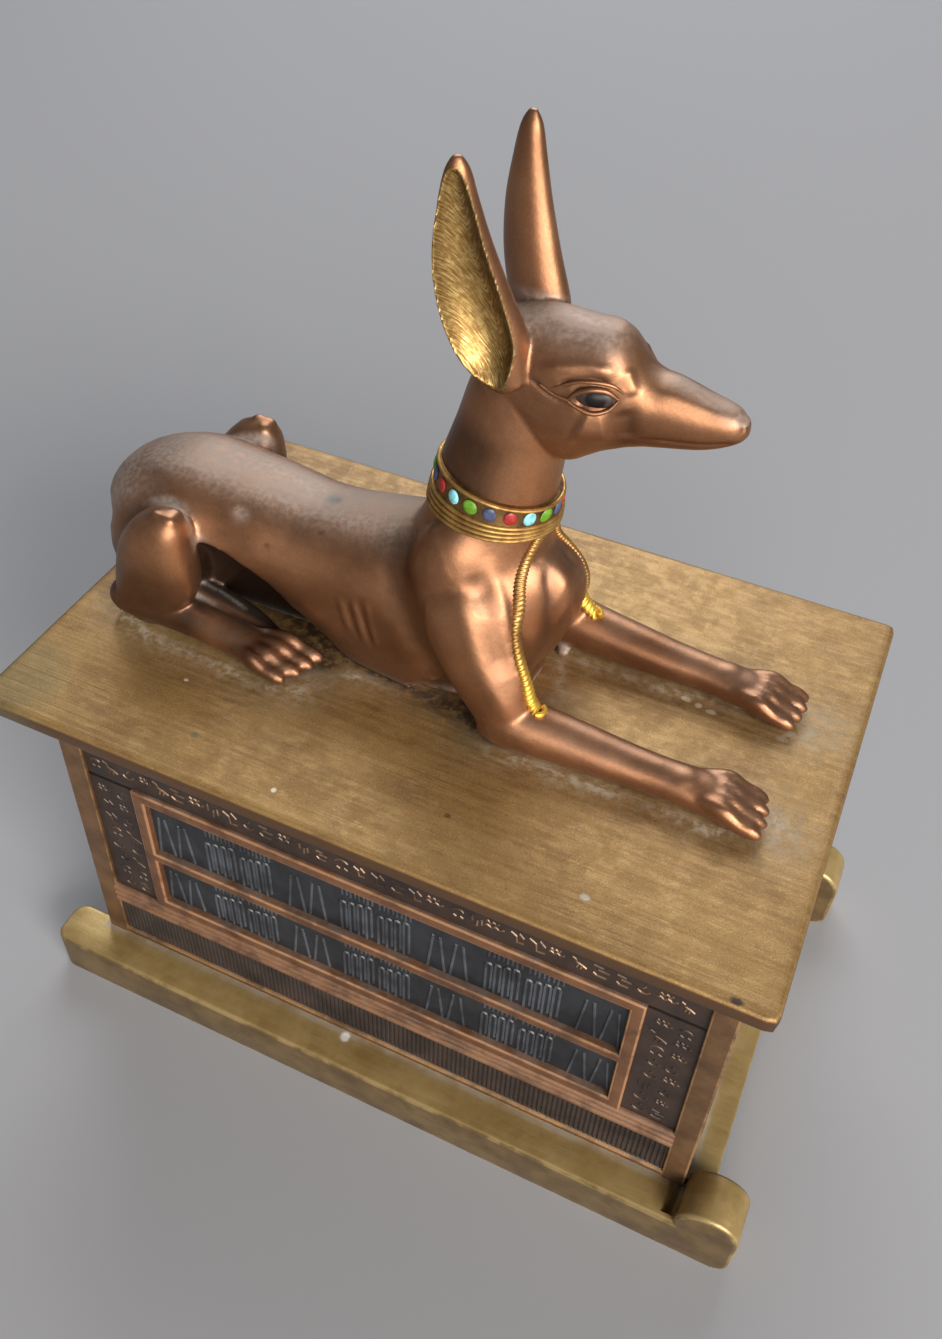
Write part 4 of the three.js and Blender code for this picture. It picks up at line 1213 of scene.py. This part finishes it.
def jackal_paint():
    """Copper-brown metallic paint with painted shade in the creases and on the shaded sides, dusty
    on top with a painted grey sheen on the back, and gold inside the ears.
    """
    material, tree, shader = new_material("copper_jackal_paint", 0.8, 0.32)
    paint = use_group(tree, PAINTED_RESIN, Cloud_size=55.0, Grain_size=2200.0)
    mark = {label: mark_of(tree, label) for label in MARKS}
    colour = blend(tree, paint["Cloud"], (0.235, 0.105, 0.05), (0.36, 0.175, 0.085))
    colour = blend(tree, times(tree, paint["Grain"], 0.22), colour, (0.1, 0.045, 0.026))
    combed = node(tree, "ShaderNodeCombineXYZ", X=mark["hair_across"], Y=mark["hair_along"]).outputs[0]
    noise = node(tree, "ShaderNodeTexNoise", Vector=combed, Scale=1.0, Detail=3.0, Roughness=0.6)
    strands = noise.outputs[0]
    crumbs = use_group(tree, PAINTED_RESIN, Cloud_size=900.0, Grain_size=3600.0)["Cloud"]
    hairs = times(tree, remap(tree, strands, 0.36, 0.66), remap(tree, crumbs, 0.0, 0.8, 0.35, 1.0))
    gold = blend(tree, hairs, (0.17, 0.08, 0.02), (0.54, 0.39, 0.15))
    gold = blend(tree, times(tree, paint["Cloud"], 0.4), gold, (0.3, 0.18, 0.05))
    colour = blend(tree, mark["gold"], colour, gold)
    # The dark mark is painted shade in the creases, hollows and shaded sides, with a few small dark spots of
    # dirt.
    colour = blend(tree, mark["dark"], colour, (0.02, 0.012, 0.009))
    lying = use_group(tree, SETTLED_DUST, Amount=0.12, Patch_size=60.0)["Dust"]
    caked = times(tree, mark["dust"], remap(tree, crumbs, 0.0, 1.0, 0.65, 1.0))
    bare = minus(tree, 1.0, mark["gold"])
    dusty = times(tree, sums(tree, "MAXIMUM", lying, caked), bare, clamp=True)
    colour = blend(tree, dusty, colour, (0.33, 0.33, 0.305))
    tree.links.new(colour, shader.inputs["Base Color"])
    dull = remap(tree, dusty, 0.0, 0.8, 0.38, 0.75)
    tree.links.new(plus(tree, dull, times(tree, paint["Cloud"], 0.06)), shader.inputs["Roughness"])
    tree.links.new(remap(tree, dusty, 0.0, 0.9, 0.85, 0.1), shader.inputs["Metallic"])
    hair_height = times(tree, times(tree, strands, mark["gold"]), 6.0)
    bump(tree, shader, plus(tree, hair_height, paint["Height"]), 0.14)
    return material


body_paint = jackal_paint()


def evened(mesh, lines, reach, rounds):
    """Smooths only the clay near some lines, on both sides, where two forms meet too sharply."""
    points = points_of(mesh)
    away = np.full(len(points), 1e9)
    for line in lines:
        for side in (-1, 1):
            away = np.minimum(away, along_line(points, [(x, y * side, z) for x, y, z in line])[0])
    shape = bmesh.new()
    shape.from_mesh(mesh)
    shape.verts.ensure_lookup_table()
    near = [shape.verts[index] for index in np.where(away < reach)[0]]
    for _ in range(rounds):
        bmesh.ops.smooth_vert(shape, verts=near, factor=0.5,
                              use_axis_x=True, use_axis_y=True, use_axis_z=True)
    shape.to_mesh(mesh)
    shape.free()
    return mesh


BODY_SEAMS = [
    [(-8, 11, 38), (-7, 13, 30), (-5, 14, 20), (-1, 15.5, 9)],
    [(6, 8, 42), (12, 9, 36), (14, 11, 28), (16, 12, 20)],
    [(0, 10, 42), (3, 12, 38), (8, 13, 33)],
    [(-76, 12, 24), (-80, 8, 18), (-78, 12, 8)],
    [(-74, 15, 18), (-70, 16, 27), (-62, 14, 30)],
]
body = Skin(evened(fused(body_clay(), BODY_VOXEL, 4), BODY_SEAMS, 4.2, 40))
# Folds round the haunch, down the shoulder and the upper leg, then the ribs and the breast, with painted
# shade in their grooves
body.crease([(-69, -12, 25.5), (-63, -12.6, 29.2), (-57, -14, 29.6), (-54.4, -15.4, 27.5), (-54, -15.6, 23)],
            1.2, 0.5, dark=0.1, dust=0.7)
body.crease([(-63, -18.6, 31), (-59, -19.4, 32), (-55.4, -19, 30)], 1.0, -0.6)
body.crease([(5, -10, 40), (8.7, -11.3, 33), (11.2, -13, 28), (14.4, -14.8, 21), (18, -16.5, 12.5)],
            1.7, -0.8)
body.crease([(1.9, -14.9, 34), (5.5, -16.9, 29), (9, -18.9, 21.5), (14, -19.6, 14), (18.7, -20.4, 7.8)],
            2.4, -0.5)
body.crease([(4, -12.6, 37), (7.3, -14.2, 31), (10.2, -15.9, 25), (14, -17.2, 17.5)], 2.0, 0.6, dark=0.3)
body.crease([(-14, -9, 34), (-11.5, -13, 26), (-7, -14.6, 18), (-2, -15.5, 10), (1, -16, 4)],
            4.2, 1.3, dark=0.45)
body.crease([(-24, -12.6, 19.5), (-23.2, -12.9, 15), (-22, -12.4, 10)], 0.6, -0.35)
body.crease([(-22.5, -12.6, 20), (-21.6, -12.9, 15), (-20.2, -12.5, 9)], 0.5, 0.25, dark=0.25)
body.crease([(-21, -12.8, 20.5), (-20, -13, 15), (-18.3, -12.6, 8)], 0.6, -0.4)
body.crease([(-19.5, -12.8, 20.7), (-18.5, -13, 15), (-17, -12.7, 8)], 0.5, 0.25, dark=0.25)
body.crease([(-18, -12.9, 21), (-17, -13.2, 15), (-15.5, -12.8, 8.5)], 0.6, -0.35)
body.crease([(15.6, -4.6, 39), (17.2, -6.6, 32), (18.6, -8, 25), (19, -8, 17)], 1.6, 0.5, dark=0.4)
body.crease([(17, -2, 38), (19, -3.4, 31), (20, -3.6, 22), (18.5, -3, 12)], 1.6, -0.4)
body.crease([(16, 1, 39), (18.5, 1.4, 32), (20, 1.2, 22)], 1.4, 0.7, dark=0.35, sides=(-1,))
# Marks on the near flank: where they lie, half their length, their width, dirt and dust
for x, y, z, half, width, dark, dust in (
    (-47.1, -9.9, 30.2, 0.2, 1.6, 0, 0.45),
    (-47.1, -9.9, 30.2, 0.1, 0.8, 0.4, 0),
    (-31.5, -0.4, 32.4, 0.3, 1.3, 0.85, 0),
    (-40.5, -11.8, 25.7, 0.1, 0.4, 0.75, 0),
    (-30.1, -7.9, 30.0, 0.1, 0.4, 0.75, 0),
    (-25.9, -5, 32, 0.1, 0.4, 0.75, 0),
    (-21.9, -8, 30.5, 0.1, 0.4, 0.75, 0),
):
    body.crease([(x - half, y, z), (x + half, y, z)], width, 0.1, dark=dark, dust=dust,
                fade=False, sides=(-1,), rows=2)
# Painted shade low on the haunch and flank, behind each elbow and under the flank's edge, a darker
# line where the body meets the lid, dust on the rump and the glue, and dust and a painted sheen on the back
along, across, above = body.points.T
aside = np.abs(across)
body.mark("dust", np.exp(-np.clip(above, 0, None) / 0.8) * 0.6)
low = ramp(above, 24, 16)
sides_shade = low * ramp(aside, 12, 16) * ramp(along, -50, -56)
flank_shade = low * ramp(along, -4, -12) * ramp(along, -50, -44)
body.mark("dark", sides_shade * 0.55 + flank_shade * 0.38)
# Painted shadow in the low arch behind each elbow
body.crease([(-3, -11, 1), (1, -11.6, 3), (5, -12.4, 3.6), (9, -14.4, 2.4)], 2.4, 0.0, dark=0.75)
# Darker along the body's foot where it meets the lid
foot_line = np.exp(-np.clip(above, 0, None) / 0.5) * (along > -34) * (along < 12) * (aside > 9)
body.mark("dark", foot_line * 0.85)
body.marks["dust"] *= 1 - foot_line
glue = np.exp(-((along - 15.2) ** 2 + (across - 12.2) ** 2 + (above - 0.8) ** 2) / 3.4)
body.mark("dust", np.clip(glue * 1.2, 0, 0.6))
# The back's grey is dust and a painted sheen; the rump's is dust
back = ramp(above, 26, 32) * ramp(aside, 11, 5) * ramp(along, -6, -16)
rump = ramp(along, -60, -78) * ramp(above, 10, 24) * ramp(aside, 17, 11)
body.mark("dust", np.maximum(back, rump) * 0.52)
# Painted shade under the flank's edge, over the hollow before each haunch
flank_edge = np.interp(along, [-60, -54.2, -48.5, -43.8, -39.7, -37], [24, 23, 20, 16.4, 9, 0])
under = ramp(flank_edge - above, 0, 1.2) * ramp(aside, 13.2, 12.4) * (along > -62) * (along < -34)
body.mark("dark", under * 0.9)
body.crease([(-62, -14.2, 7.4), (-54, -14.4, 6.8), (-46, -15.2, 6.4), (-40, -15.6, 5.4)], 0.8, 0.0, dust=0.7)
body.crease([(-60, -10.8, 8.2), (-54, -10.6, 7), (-48, -11.6, 5.4)], 0.7, -0.2, dust=0.45)
body_object = body.finished("jackal_body", body_paint, replaces=["jackal"])


# The head: cast in one with the body, but drawn finer. Tall ears, hollowed on the side that faces
# out and painted gold inside, a long muzzle, and eyes with raised lids round a dark glossy ball.
SKULL = [
    [-1.7, 0, 72.6, 3, 3, 4.1],
    [2.3, 0, 73.6, 6.7, 8.1, 8.1],
    [9.3, 0, 74.4, 8.5, 10, 13],
    [16.3, 0, 74.4, 8.9, 10, 15.9],
    [21.7, 0, 74.1, 8.1, 10.1, 13.2],
    [25.9, 0, 73.5, 6.4, 6.2, 10.6],
    [29, 0, 73, 5.5, 5.1, 8.6],
    [32.3, 0, 72.6, 4.9, 5.2, 7.1],
    [38.3, 0, 72.3, 3.9, 3.9, 5.3],
    [42.7, 0, 72.4, 2.9, 3, 3.1],
    [44.7, 0, 72.8, 1.4, 1.3, 1.3],
]
EAR_TURN = 0.45
EAR_FOOT, EAR_TOP = 74.2, 109.2
FAR_EAR_FOOT_LEAD, FAR_EAR_TIP_LEAD = 1.1, 3.1
EAR_LEAF = [
    [7.9, 7.6, 74.2, 3, 3, 3],
    [4.6, 8.3, 79.7, 5.7, 3.7, 4.1],
    [1.5, 9.3, 86.8, 5.9, 3.5, 3.9],
    [-0.6, 10, 94.9, 4.9, 2.9, 3.1],
    [-1.5, 10.2, 102.6, 3.2, 2.2, 2.3],
    [-1.8, 10.2, 107.4, 2, 1.5, 1.6],
    [-1.9, 10.2, 109.7, 0.7, 0.5, 0.5],
]
EAR_HOLLOW = [
    [6.8, 12.6, 74.8, 1.5, 2.6, 2.2],
    [4.2, 12.6, 80, 5, 3.4, 4.4],
    [1.4, 13, 87.3, 5.5, 3.6, 5],
    [-0.6, 12.8, 94.9, 4.5, 3, 3.9],
    [-1.5, 12.2, 102.4, 2.8, 2, 2.4],
    [-1.8, 11.6, 106.6, 1.3, 0.9, 1.1],
    [-1.8, 11.4, 107.8, 0.4, 0.4, 0.5],
]


def leaning(stations, foot_lead, tip_lead):
    """The far ear stands a little further forward than the near one, at its tip most of all."""
    shares = [(z - EAR_FOOT) / (EAR_TOP - EAR_FOOT) for _, _, z, *_ in stations]
    return [[x + foot_lead + (tip_lead - foot_lead) * share, y, z + tip_lead * 0.1 * share, *reaches]
            for share, (x, y, z, *reaches) in zip(shares, stations)]


def ear(side):
    lead = Vector((math.sin(EAR_TURN), side * math.cos(EAR_TURN), 0))
    leads = (FAR_EAR_FOOT_LEAD, FAR_EAR_TIP_LEAD) if side > 0 else (0, 0)
    leaf, hollow = bmesh.new(), bmesh.new()
    add_limb(leaf, leaning(EAR_LEAF, *leads), rows=40, sides=32, lead=lead, side=side)
    add_limb(hollow, leaning(EAR_HOLLOW, *leads), rows=40, sides=32, lead=lead, side=side)
    bmesh.ops.recalc_face_normals(leaf, faces=leaf.faces)
    bmesh.ops.recalc_face_normals(hollow, faces=hollow.faces)
    hollow_surface = BVHTree.FromBMesh(hollow)
    return cut_away(leaf, hollow), hollow_surface


HEAD_VOXEL = 0.36


def head_clay():
    shape = bmesh.new()
    add_limb(shape, SKULL, rows=48, sides=40, square=0.94)
    add_limb(shape, [[2.8, 0, 45.6, 9.7, 11.3, 11.3]] + NECK[3:], rows=24, sides=36, lead=FORWARD)
    hollows = []
    for side in (-1, 1):
        cut, hollow = ear(side)
        shape.from_mesh(cut)
        hollows.append(hollow)
    return shape, hollows


head_shape, ear_hollows = head_clay()
HEAD_SEAMS = [
    [(24, 4, 83), (26, 5.6, 78), (26.5, 6, 75)],
    [(4, 7.5, 70), (8, 8, 64), (12, 6, 59)],
]
head = Skin(evened(fused(head_shape, HEAD_VOXEL, 4), HEAD_SEAMS, 2.6, 24))
# The cheek, the corner of the muzzle, the socket and folds of each eye, the brow, and the mouth,
# with painted shade in the grooves
head.crease([(18.6, -9, 70), (20.4, -8.7, 69.4), (22.2, -8.1, 69.3), (24.8, -6.8, 70.2)], 3.1, -1.05)
head.crease([(25.8, -6.3, 74), (26.8, -5.8, 71), (27, -5, 67.8)], 1.4, 0.5, dark=0.4)
head.crease([(18, -8.9, 74.9), (20.4, -8.9, 75.3), (22.6, -8.2, 75.4), (24.4, -7.1, 75.5)],
            1.5, 1.3, dark=0.6)
head.crease([(15.2, -8.7, 76.6), (18.2, -8.6, 78.2), (21.4, -7.9, 78.9), (24.2, -6.8, 78.1)],
            0.5, 0.45, dark=0.45)
head.crease([(12, -8.6, 78.6), (16, -8.3, 79.8), (20, -7.6, 80.6), (24.4, -5.9, 79.6)], 1.0, -0.45)
head.crease([(17.6, -8.8, 74.3), (14.8, -8.9, 74.6), (12.2, -8.8, 75.8), (10.6, -8.6, 76.8)],
            0.5, 0.4, dark=0.4)
head.crease([(25.2, -4.4, 80.4), (26.1, -5, 78.4), (26.7, -5.2, 76)], 1.1, -0.4)
head.crease([(24.6, -6, 79), (26, -6.1, 76.8), (27, -5.8, 74.2), (27.2, -5.4, 71.4)], 1.0, 0.15, dark=0.1)
head.crease([(29, -4.7, 68.6), (33, -4.2, 68.9), (38, -3.4, 69.4), (42, -2.6, 70.4), (44, -1.2, 71.2)],
            0.45, 0.35, dark=0.4)
head.crease([(28, -3.4, 77), (34, -2.8, 76), (40, -2.2, 75), (43, -1.6, 74.2)], 0.8, -0.2)
head.crease([(43.4, -1.6, 73.2), (44.1, -1.2, 72.8)], 0.45, 0.35, dark=0.6)
# Gold and hair in the hollows of the ears, painted shade on the fore half of each hollow, dust on the crown
# and muzzle, and painted shade under the jaw
along, across, above = head.points.T
aside = np.abs(across)
for side, hollow in zip((-1, 1), ear_hollows):
    for index in np.where((across * side > 4) & (above > EAR_FOOT))[0]:
        away = hollow.find_nearest(Vector(head.points[index]), 1.0)[3]
        if away is not None:
            head.marks["gold"][index] = max(0.0, min(1.0, (0.5 - away) / 0.2))
head.marks["dark"] *= 1 - head.marks["gold"]
lead = FAR_EAR_FOOT_LEAD + (FAR_EAR_TIP_LEAD - FAR_EAR_FOOT_LEAD) * ramp(above, EAR_FOOT, EAR_TOP)
vein = np.interp(above, [76, 80, 87, 95, 103, 109], [7.5, 6.2, 3.4, 0.4, -1.3, -1.9])
from_vein = along - vein - np.where(across > 0, lead, 0)
head.marks["hair_along"] = np.abs(from_vein) * 0.9
head.marks["hair_across"] = (above - np.abs(from_vein) * 1.6) * 2.2
# The fore half of each ear's hollow is painted darker as painted shade.
ear_hollow_shade = ramp(from_vein, -0.6, 1.6) * np.where(across < 0, 1, 0.6)
head.mark("dark", ear_hollow_shade * 0.62 * head.marks["gold"])
off_crown = aside + np.clip(above - 83, 0, None) * 2
head.mark("dust", ramp(above, 78.5, 83.5) * ramp(off_crown, 8.5, 4.5) * ramp(along, 27, 21) * 0.5)
head.mark("dust", ramp(along, 26, 32) * ramp(aside, 3.4, 1.4) * (above > 73.5) * 0.45)
head.mark("dark", ramp(above, 66, 61) * ramp(along, 9, 3) * ramp(aside, 0, 3) * 0.6)
head_object = head.finished("jackal_head", body_paint)

# Lids and folds round each eye, in one with the head: each point is a place and a thickness there,
# from the back corner forward
EYE_LIDS = [
    [(17.2, 8.6, 74.5, 0.2), (18.8, 8.8, 76.1, 0.42), (21, 8.6, 77.15, 0.5), (23.2, 7.8, 77, 0.46),
     (25, 6.8, 75.8, 0.25)],
    [(17.2, 8.6, 74.5, 0.2), (19.2, 8.8, 73.7, 0.38), (21.6, 8.5, 73.2, 0.42), (23.8, 7.6, 73.9, 0.36),
     (25.1, 6.8, 75.6, 0.2)],
    [(14.6, 8.6, 76, 0.15), (18, 8.6, 77.9, 0.3), (21.4, 8, 78.5, 0.36), (24, 7, 78, 0.32),
     (25.6, 6, 76.6, 0.15)],
    [(17.6, 8.8, 74.6, 0.26), (15, 8.75, 75, 0.24), (12.6, 8.6, 76, 0.16)],
]


def on_surface(surface, place):
    """The nearest place on a finished surface, in the figure's millimetres, and the way out of it."""
    spot, outward, _, _ = surface.find_nearest((Vector(place) + FIGURE) * MM)
    return spot / MM - FIGURE, outward


head_surface = BVHTree.FromObject(head_object, bpy.context.evaluated_depsgraph_get())
lids = bmesh.new()
for side in (-1, 1):
    for lid_line in EYE_LIDS:
        stations = []
        for x, y, z, thick in lid_line:
            spot, outward = on_surface(head_surface, (x, y * side, z))
            place = (Vector((x, y * side, z)) + spot) * 0.5 + outward * 0.05
            stations.append([*place, thick, thick, thick])
        add_limb(lids, stations, rows=24, sides=12, lead=Vector((0, side, 0.2)))
bmesh.ops.recalc_face_normals(lids, faces=lids.faces)
bmesh.ops.translate(lids, vec=FIGURE, verts=lids.verts)
piece("eye_lids", lids, body_paint, sharp=80)


# The eyes: a ball on each side behind the lids, painted dark, with a darker iris and a soft gloss.
# They are cast with the head.
EYE = Vector((21.3, 6.35, 75.3))
EYE_REACH = (3.7, 1.95, 2.05)
IRIS_X, IRIS_Z = 21.7, 75.4
IRIS_EDGE = (2.0 * MM, 1.3 * MM)


def eye_gloss():
    material, tree, shader = new_material("dark_eye_paint", 0.0, 0.36)
    shader.inputs["Specular IOR Level"].default_value = 0.25
    paint = use_group(tree, PAINTED_RESIN, Cloud_size=600.0, Grain_size=4000.0)
    colour = blend(tree, paint["Cloud"], (0.028, 0.019, 0.016), (0.06, 0.042, 0.034))
    place = split(tree, place_on(tree))
    aside = minus(tree, place["X"], IRIS_X * MM)
    above = minus(tree, place["Z"], (IRIS_Z + FIGURE.z) * MM)
    away = sums(tree, "SQRT", plus(tree, times(tree, aside, aside), times(tree, above, above)))
    colour = blend(tree, remap(tree, away, *IRIS_EDGE), colour, (0.006, 0.004, 0.004))
    tree.links.new(colour, shader.inputs["Base Color"])
    bump(tree, shader, paint["Height"], 0.05)
    return material


eyes = bmesh.new()
for side in (-1, 1):
    turned = Matrix.Translation((EYE.x, side * EYE.y, EYE.z)) @ Matrix.Rotation(-side * 0.25, 4, "Z")
    bmesh.ops.create_uvsphere(eyes, u_segments=40, v_segments=24, radius=1,
                              matrix=turned @ Matrix.Diagonal((*EYE_REACH, 1)))
bmesh.ops.translate(eyes, vec=FIGURE, verts=eyes.verts)
piece("eyes", eyes, eye_gloss())


# The collar: a gold band round the neck, with a rim above and four fine rings below. It is cast
# with the jackal and painted by hand. Its foot and its top rise towards the nape.
THROAT_X = 14.5
COLLAR_FOOT, COLLAR_TOP = 43.1, 49.3
FOOT_RISE, TOP_RISE = 0.03, 0.19


def collar_point(share, rise, turn):
    """A place on the collar, from the share of its height, how far it stands out, and the turn."""
    neck = np.array(NECK)
    height = 47.0
    for _ in range(3):
        x, wide, fore, back = (np.interp(height, neck[:, 2], neck[:, part]) for part in (0, 3, 4, 5))
        reach = fore if math.cos(turn) > 0 else back
        place = x + math.cos(turn) * (reach + rise)
        foot = COLLAR_FOOT + FOOT_RISE * (THROAT_X - place)
        top = COLLAR_TOP + TOP_RISE * (THROAT_X - place)
        height = foot + (top - foot) * share
    return Vector((place, math.sin(turn) * (wide + rise), height)) + FIGURE


def collar_band():
    shape = bmesh.new()
    rings = []
    for share, rise in ((0.0, 0.1), (0.03, 0.75), (0.36, 0.8), (0.42, 0.7),
                        (0.9, 0.7), (0.97, 0.7), (1.0, 0.1)):
        rings.append(add_ring(shape, 96, lambda turn: collar_point(share, rise, turn)))
    bridge_rings(shape, rings)
    bmesh.ops.recalc_face_normals(shape, faces=shape.faces)
    return shape


def collar_rings():
    shape = bmesh.new()
    rings = []
    for share, rise in ((0.05, 0.8), (0.17, 0.85), (0.29, 0.85), (0.41, 0.8), (0.95, 0.75)):
        rings.append([collar_point(share, rise, turn) for turn in np.linspace(0, 2 * math.pi, 97)])
    add_strokes(shape, rings, 0.4, fine=3)
    return shape


def gold_paint(name, deep, bright, low_end=None):
    """Rubbed gold paint, which may turn to another colour towards the bands' lower ends."""
    material, tree, shader = new_material(name, 0.75, 0.32)
    paint = use_group(tree, PAINTED_RESIN, Cloud_size=380.0, Grain_size=3000.0)
    colour = blend(tree, paint["Cloud"], deep, bright)
    if low_end:
        height = split(tree, place_on(tree))["Z"]
        lower = remap(tree, height, (FIGURE.z + 26) * MM, (FIGURE.z + 14) * MM)
        colour = blend(tree, lower, colour, low_end)
    colour = blend(tree, times(tree, paint["Grain"], 0.2), colour, (0.12, 0.06, 0.02))
    tree.links.new(colour, shader.inputs["Base Color"])
    tree.links.new(remap(tree, paint["Cloud"], 0.0, 1.0, 0.48, 0.36), shader.inputs["Roughness"])
    bump(tree, shader, paint["Height"], 0.15)
    return material


# The band's gold is darker and browner than the rings', partly its own tone and partly painted shade between
# the rings.
collar_gold_and_shade = gold_paint("collar_gold_and_shade", (0.05, 0.024, 0.01), (0.2, 0.11, 0.034))
ring_gold = gold_paint("ring_gold", (0.24, 0.12, 0.03), (0.54, 0.33, 0.1))
piece("collar", collar_band(), collar_gold_and_shade)
piece("collar_rings", collar_rings(), ring_gold)


# The collar's stones: small painted ovals in one row, in four colours by turns from the nape round,
# cast with the collar and painted by hand.
FIRST_STONE, STONE_STEP, STONE_COUNT = -131, 18, 20
STONE_SHARE = 0.68
STONE_COLOURS = {
    "red": (0.3, 0.016, 0.014),
    "turquoise": (0.2, 0.52, 0.56),
    "green": (0.1, 0.25, 0.012),
    "navy": (0.045, 0.06, 0.12),
}
for first, (name, tint) in enumerate(STONE_COLOURS.items()):
    material, tree, shader = new_material(name + "_stone_paint", 0.0, 0.4)
    paint = use_group(tree, PAINTED_RESIN, Cloud_size=700.0, Grain_size=4000.0)
    tree.links.new(blend(tree, paint["Cloud"], tuple(value * 0.65 for value in tint),
                         tuple(min(1, value * 1.25 + 0.01) for value in tint)), shader.inputs["Base Color"])
    bump(tree, shader, paint["Height"], 0.2)
    stones = bmesh.new()
    for index in range(first, STONE_COUNT, len(STONE_COLOURS)):
        turn = math.radians(FIRST_STONE + index * STONE_STEP)
        centre = collar_point(STONE_SHARE, 0.7, turn)
        out = (collar_point(STONE_SHARE, 1.7, turn) - centre).normalized()
        along = Vector((0, 0, 1)).cross(out).normalized()
        wide = 1.45 if name == "green" else 1.25
        place = Matrix((along * wide, out.cross(along) * 1.5, out * 0.42)).transposed().to_4x4()
        place.translation = centre
        bmesh.ops.create_uvsphere(stones, u_segments=14, v_segments=8, radius=1, matrix=place)
    piece(name + "_stones", stones, material)


# The two hanging bands: ribbed cords that leave the collar at the front and lie over the
# shoulders, each ending in a thick loop. Bright yellow-gold below, browner above.
HANGING_BANDS = {
    -1: [(14.6, -1, 44.4), (13.8, -5.2, 41.5), (12.2, -8.2, 36.4), (12.7, -10.4, 31.4),
         (15.2, -13.8, 24.6), (18, -15.2, 17), (20.8, -16, 9.8)],
    1: [(14.4, 1.2, 44.4), (14.6, 3, 40.5), (15.6, 4.6, 36.5), (17.8, 5.4, 31.5),
        (19.4, 7, 26.5), (20.2, 9.6, 21.5), (20.8, 12.4, 16.5), (20.9, 14.8, 11.3)],
}
RIB_STEP = 0.9


def ribbed_cord(shape, side, surface):
    """A cord pressed on the body, its ribs slanting across it, with a thick loop at its end."""
    rows, sides = 340, 12
    spots, outs = zip(*(on_surface(surface, place) for place in curve_through(HANGING_BANDS[side], rows)))
    # Each point and the way out there are the mean of the ones near it, so the cord lies smoothly
    near = [slice(max(row - 12, 0), row + 13) for row in range(rows + 1)]
    even = [sum(spots[part], Vector()) / len(spots[part]) + FIGURE for part in near]
    outs = [sum(outs[part], Vector()).normalized() for part in near]
    length = sum((after - before).length for before, after in zip(even, even[1:]))
    rings = []
    for row in range(rows + 1):
        tangent = (even[min(row + 2, rows)] - even[max(row - 2, 0)]).normalized()
        across = outs[row].cross(tangent).normalized()
        size = 0.8 + 0.5 * (row / rows) ** 1.6

        def on_ring(turn):
            rib = 1 + 0.1 * math.sin(row / rows * length / RIB_STEP * 2 * math.pi + math.cos(turn) * 2.2)
            reach, rise = math.cos(turn) * 1.2 * size * rib, math.sin(turn) * 0.8 * size * rib + 0.12
            return even[row] + across * reach + outs[row] * rise

        rings.append(add_ring(shape, sides, on_ring))
    bridge_rings(shape, rings)
    loop = [even[-1] + across * math.cos(turn) * 1.25 + tangent * math.sin(turn) * 0.9 + outs[-1] * 0.4
            for turn in np.linspace(0, math.pi, 12)]
    add_strokes(shape, [loop], 0.62, fine=3)


body_surface = BVHTree.FromObject(body_object, bpy.context.evaluated_depsgraph_get())
cords = bmesh.new()
for side in (-1, 1):
    ribbed_cord(cords, side, body_surface)
bmesh.ops.recalc_face_normals(cords, faces=cords.faces)
cord_gold = gold_paint("cord_gold", (0.24, 0.115, 0.03), (0.46, 0.26, 0.08), (0.74, 0.46, 0.07))
piece("hanging_bands", cords, cord_gold, sharp=70)


# The stage: a plain pale floor that is no part of the object, two broad soft lights on the right,
# and a cooler one from behind.
floor_shape = bmesh.new()
bmesh.ops.create_grid(floor_shape, x_segments=1, y_segments=1, size=3)
floor_mesh = as_mesh("floor", floor_shape)
floor_material, _, floor_shader = new_material("pale_floor", 0.0, 0.85)
floor_shader.inputs["Base Color"].default_value = (0.27, 0.27, 0.28, 1)
floor_mesh.materials.append(floor_material)
floor = placed("floor", floor_mesh)

for name, place, size, energy, tint in (
    ("key_light", (1.5, -0.95, 1.0), 0.9, 52, (1.0, 0.96, 0.92)),
    ("window_light", (0.85, -1.75, 0.6), 1.3, 40, (1.0, 0.97, 0.94)),
    ("sky_light", (-0.45, 1.35, 1.35), 1.3, 30, (0.95, 0.97, 1.0)),
):
    light = placed(name, bpy.data.lights.new(name, "AREA"))
    light.data.size = size
    light.data.energy = energy
    light.data.color = tint
    light.location = place
    light.rotation_euler = (Vector((0, 0, 0.1)) - Vector(place)).to_track_quat("-Z", "Y").to_euler()
world = bpy.data.worlds.new("room")
world.use_nodes = True
world.node_tree.nodes["Background"].inputs["Color"].default_value = (0.8, 0.85, 0.9, 1)
world.node_tree.nodes["Background"].inputs["Strength"].default_value = 0.12
bpy.context.scene.world = world
bpy.context.scene.view_settings.view_transform = "Standard"
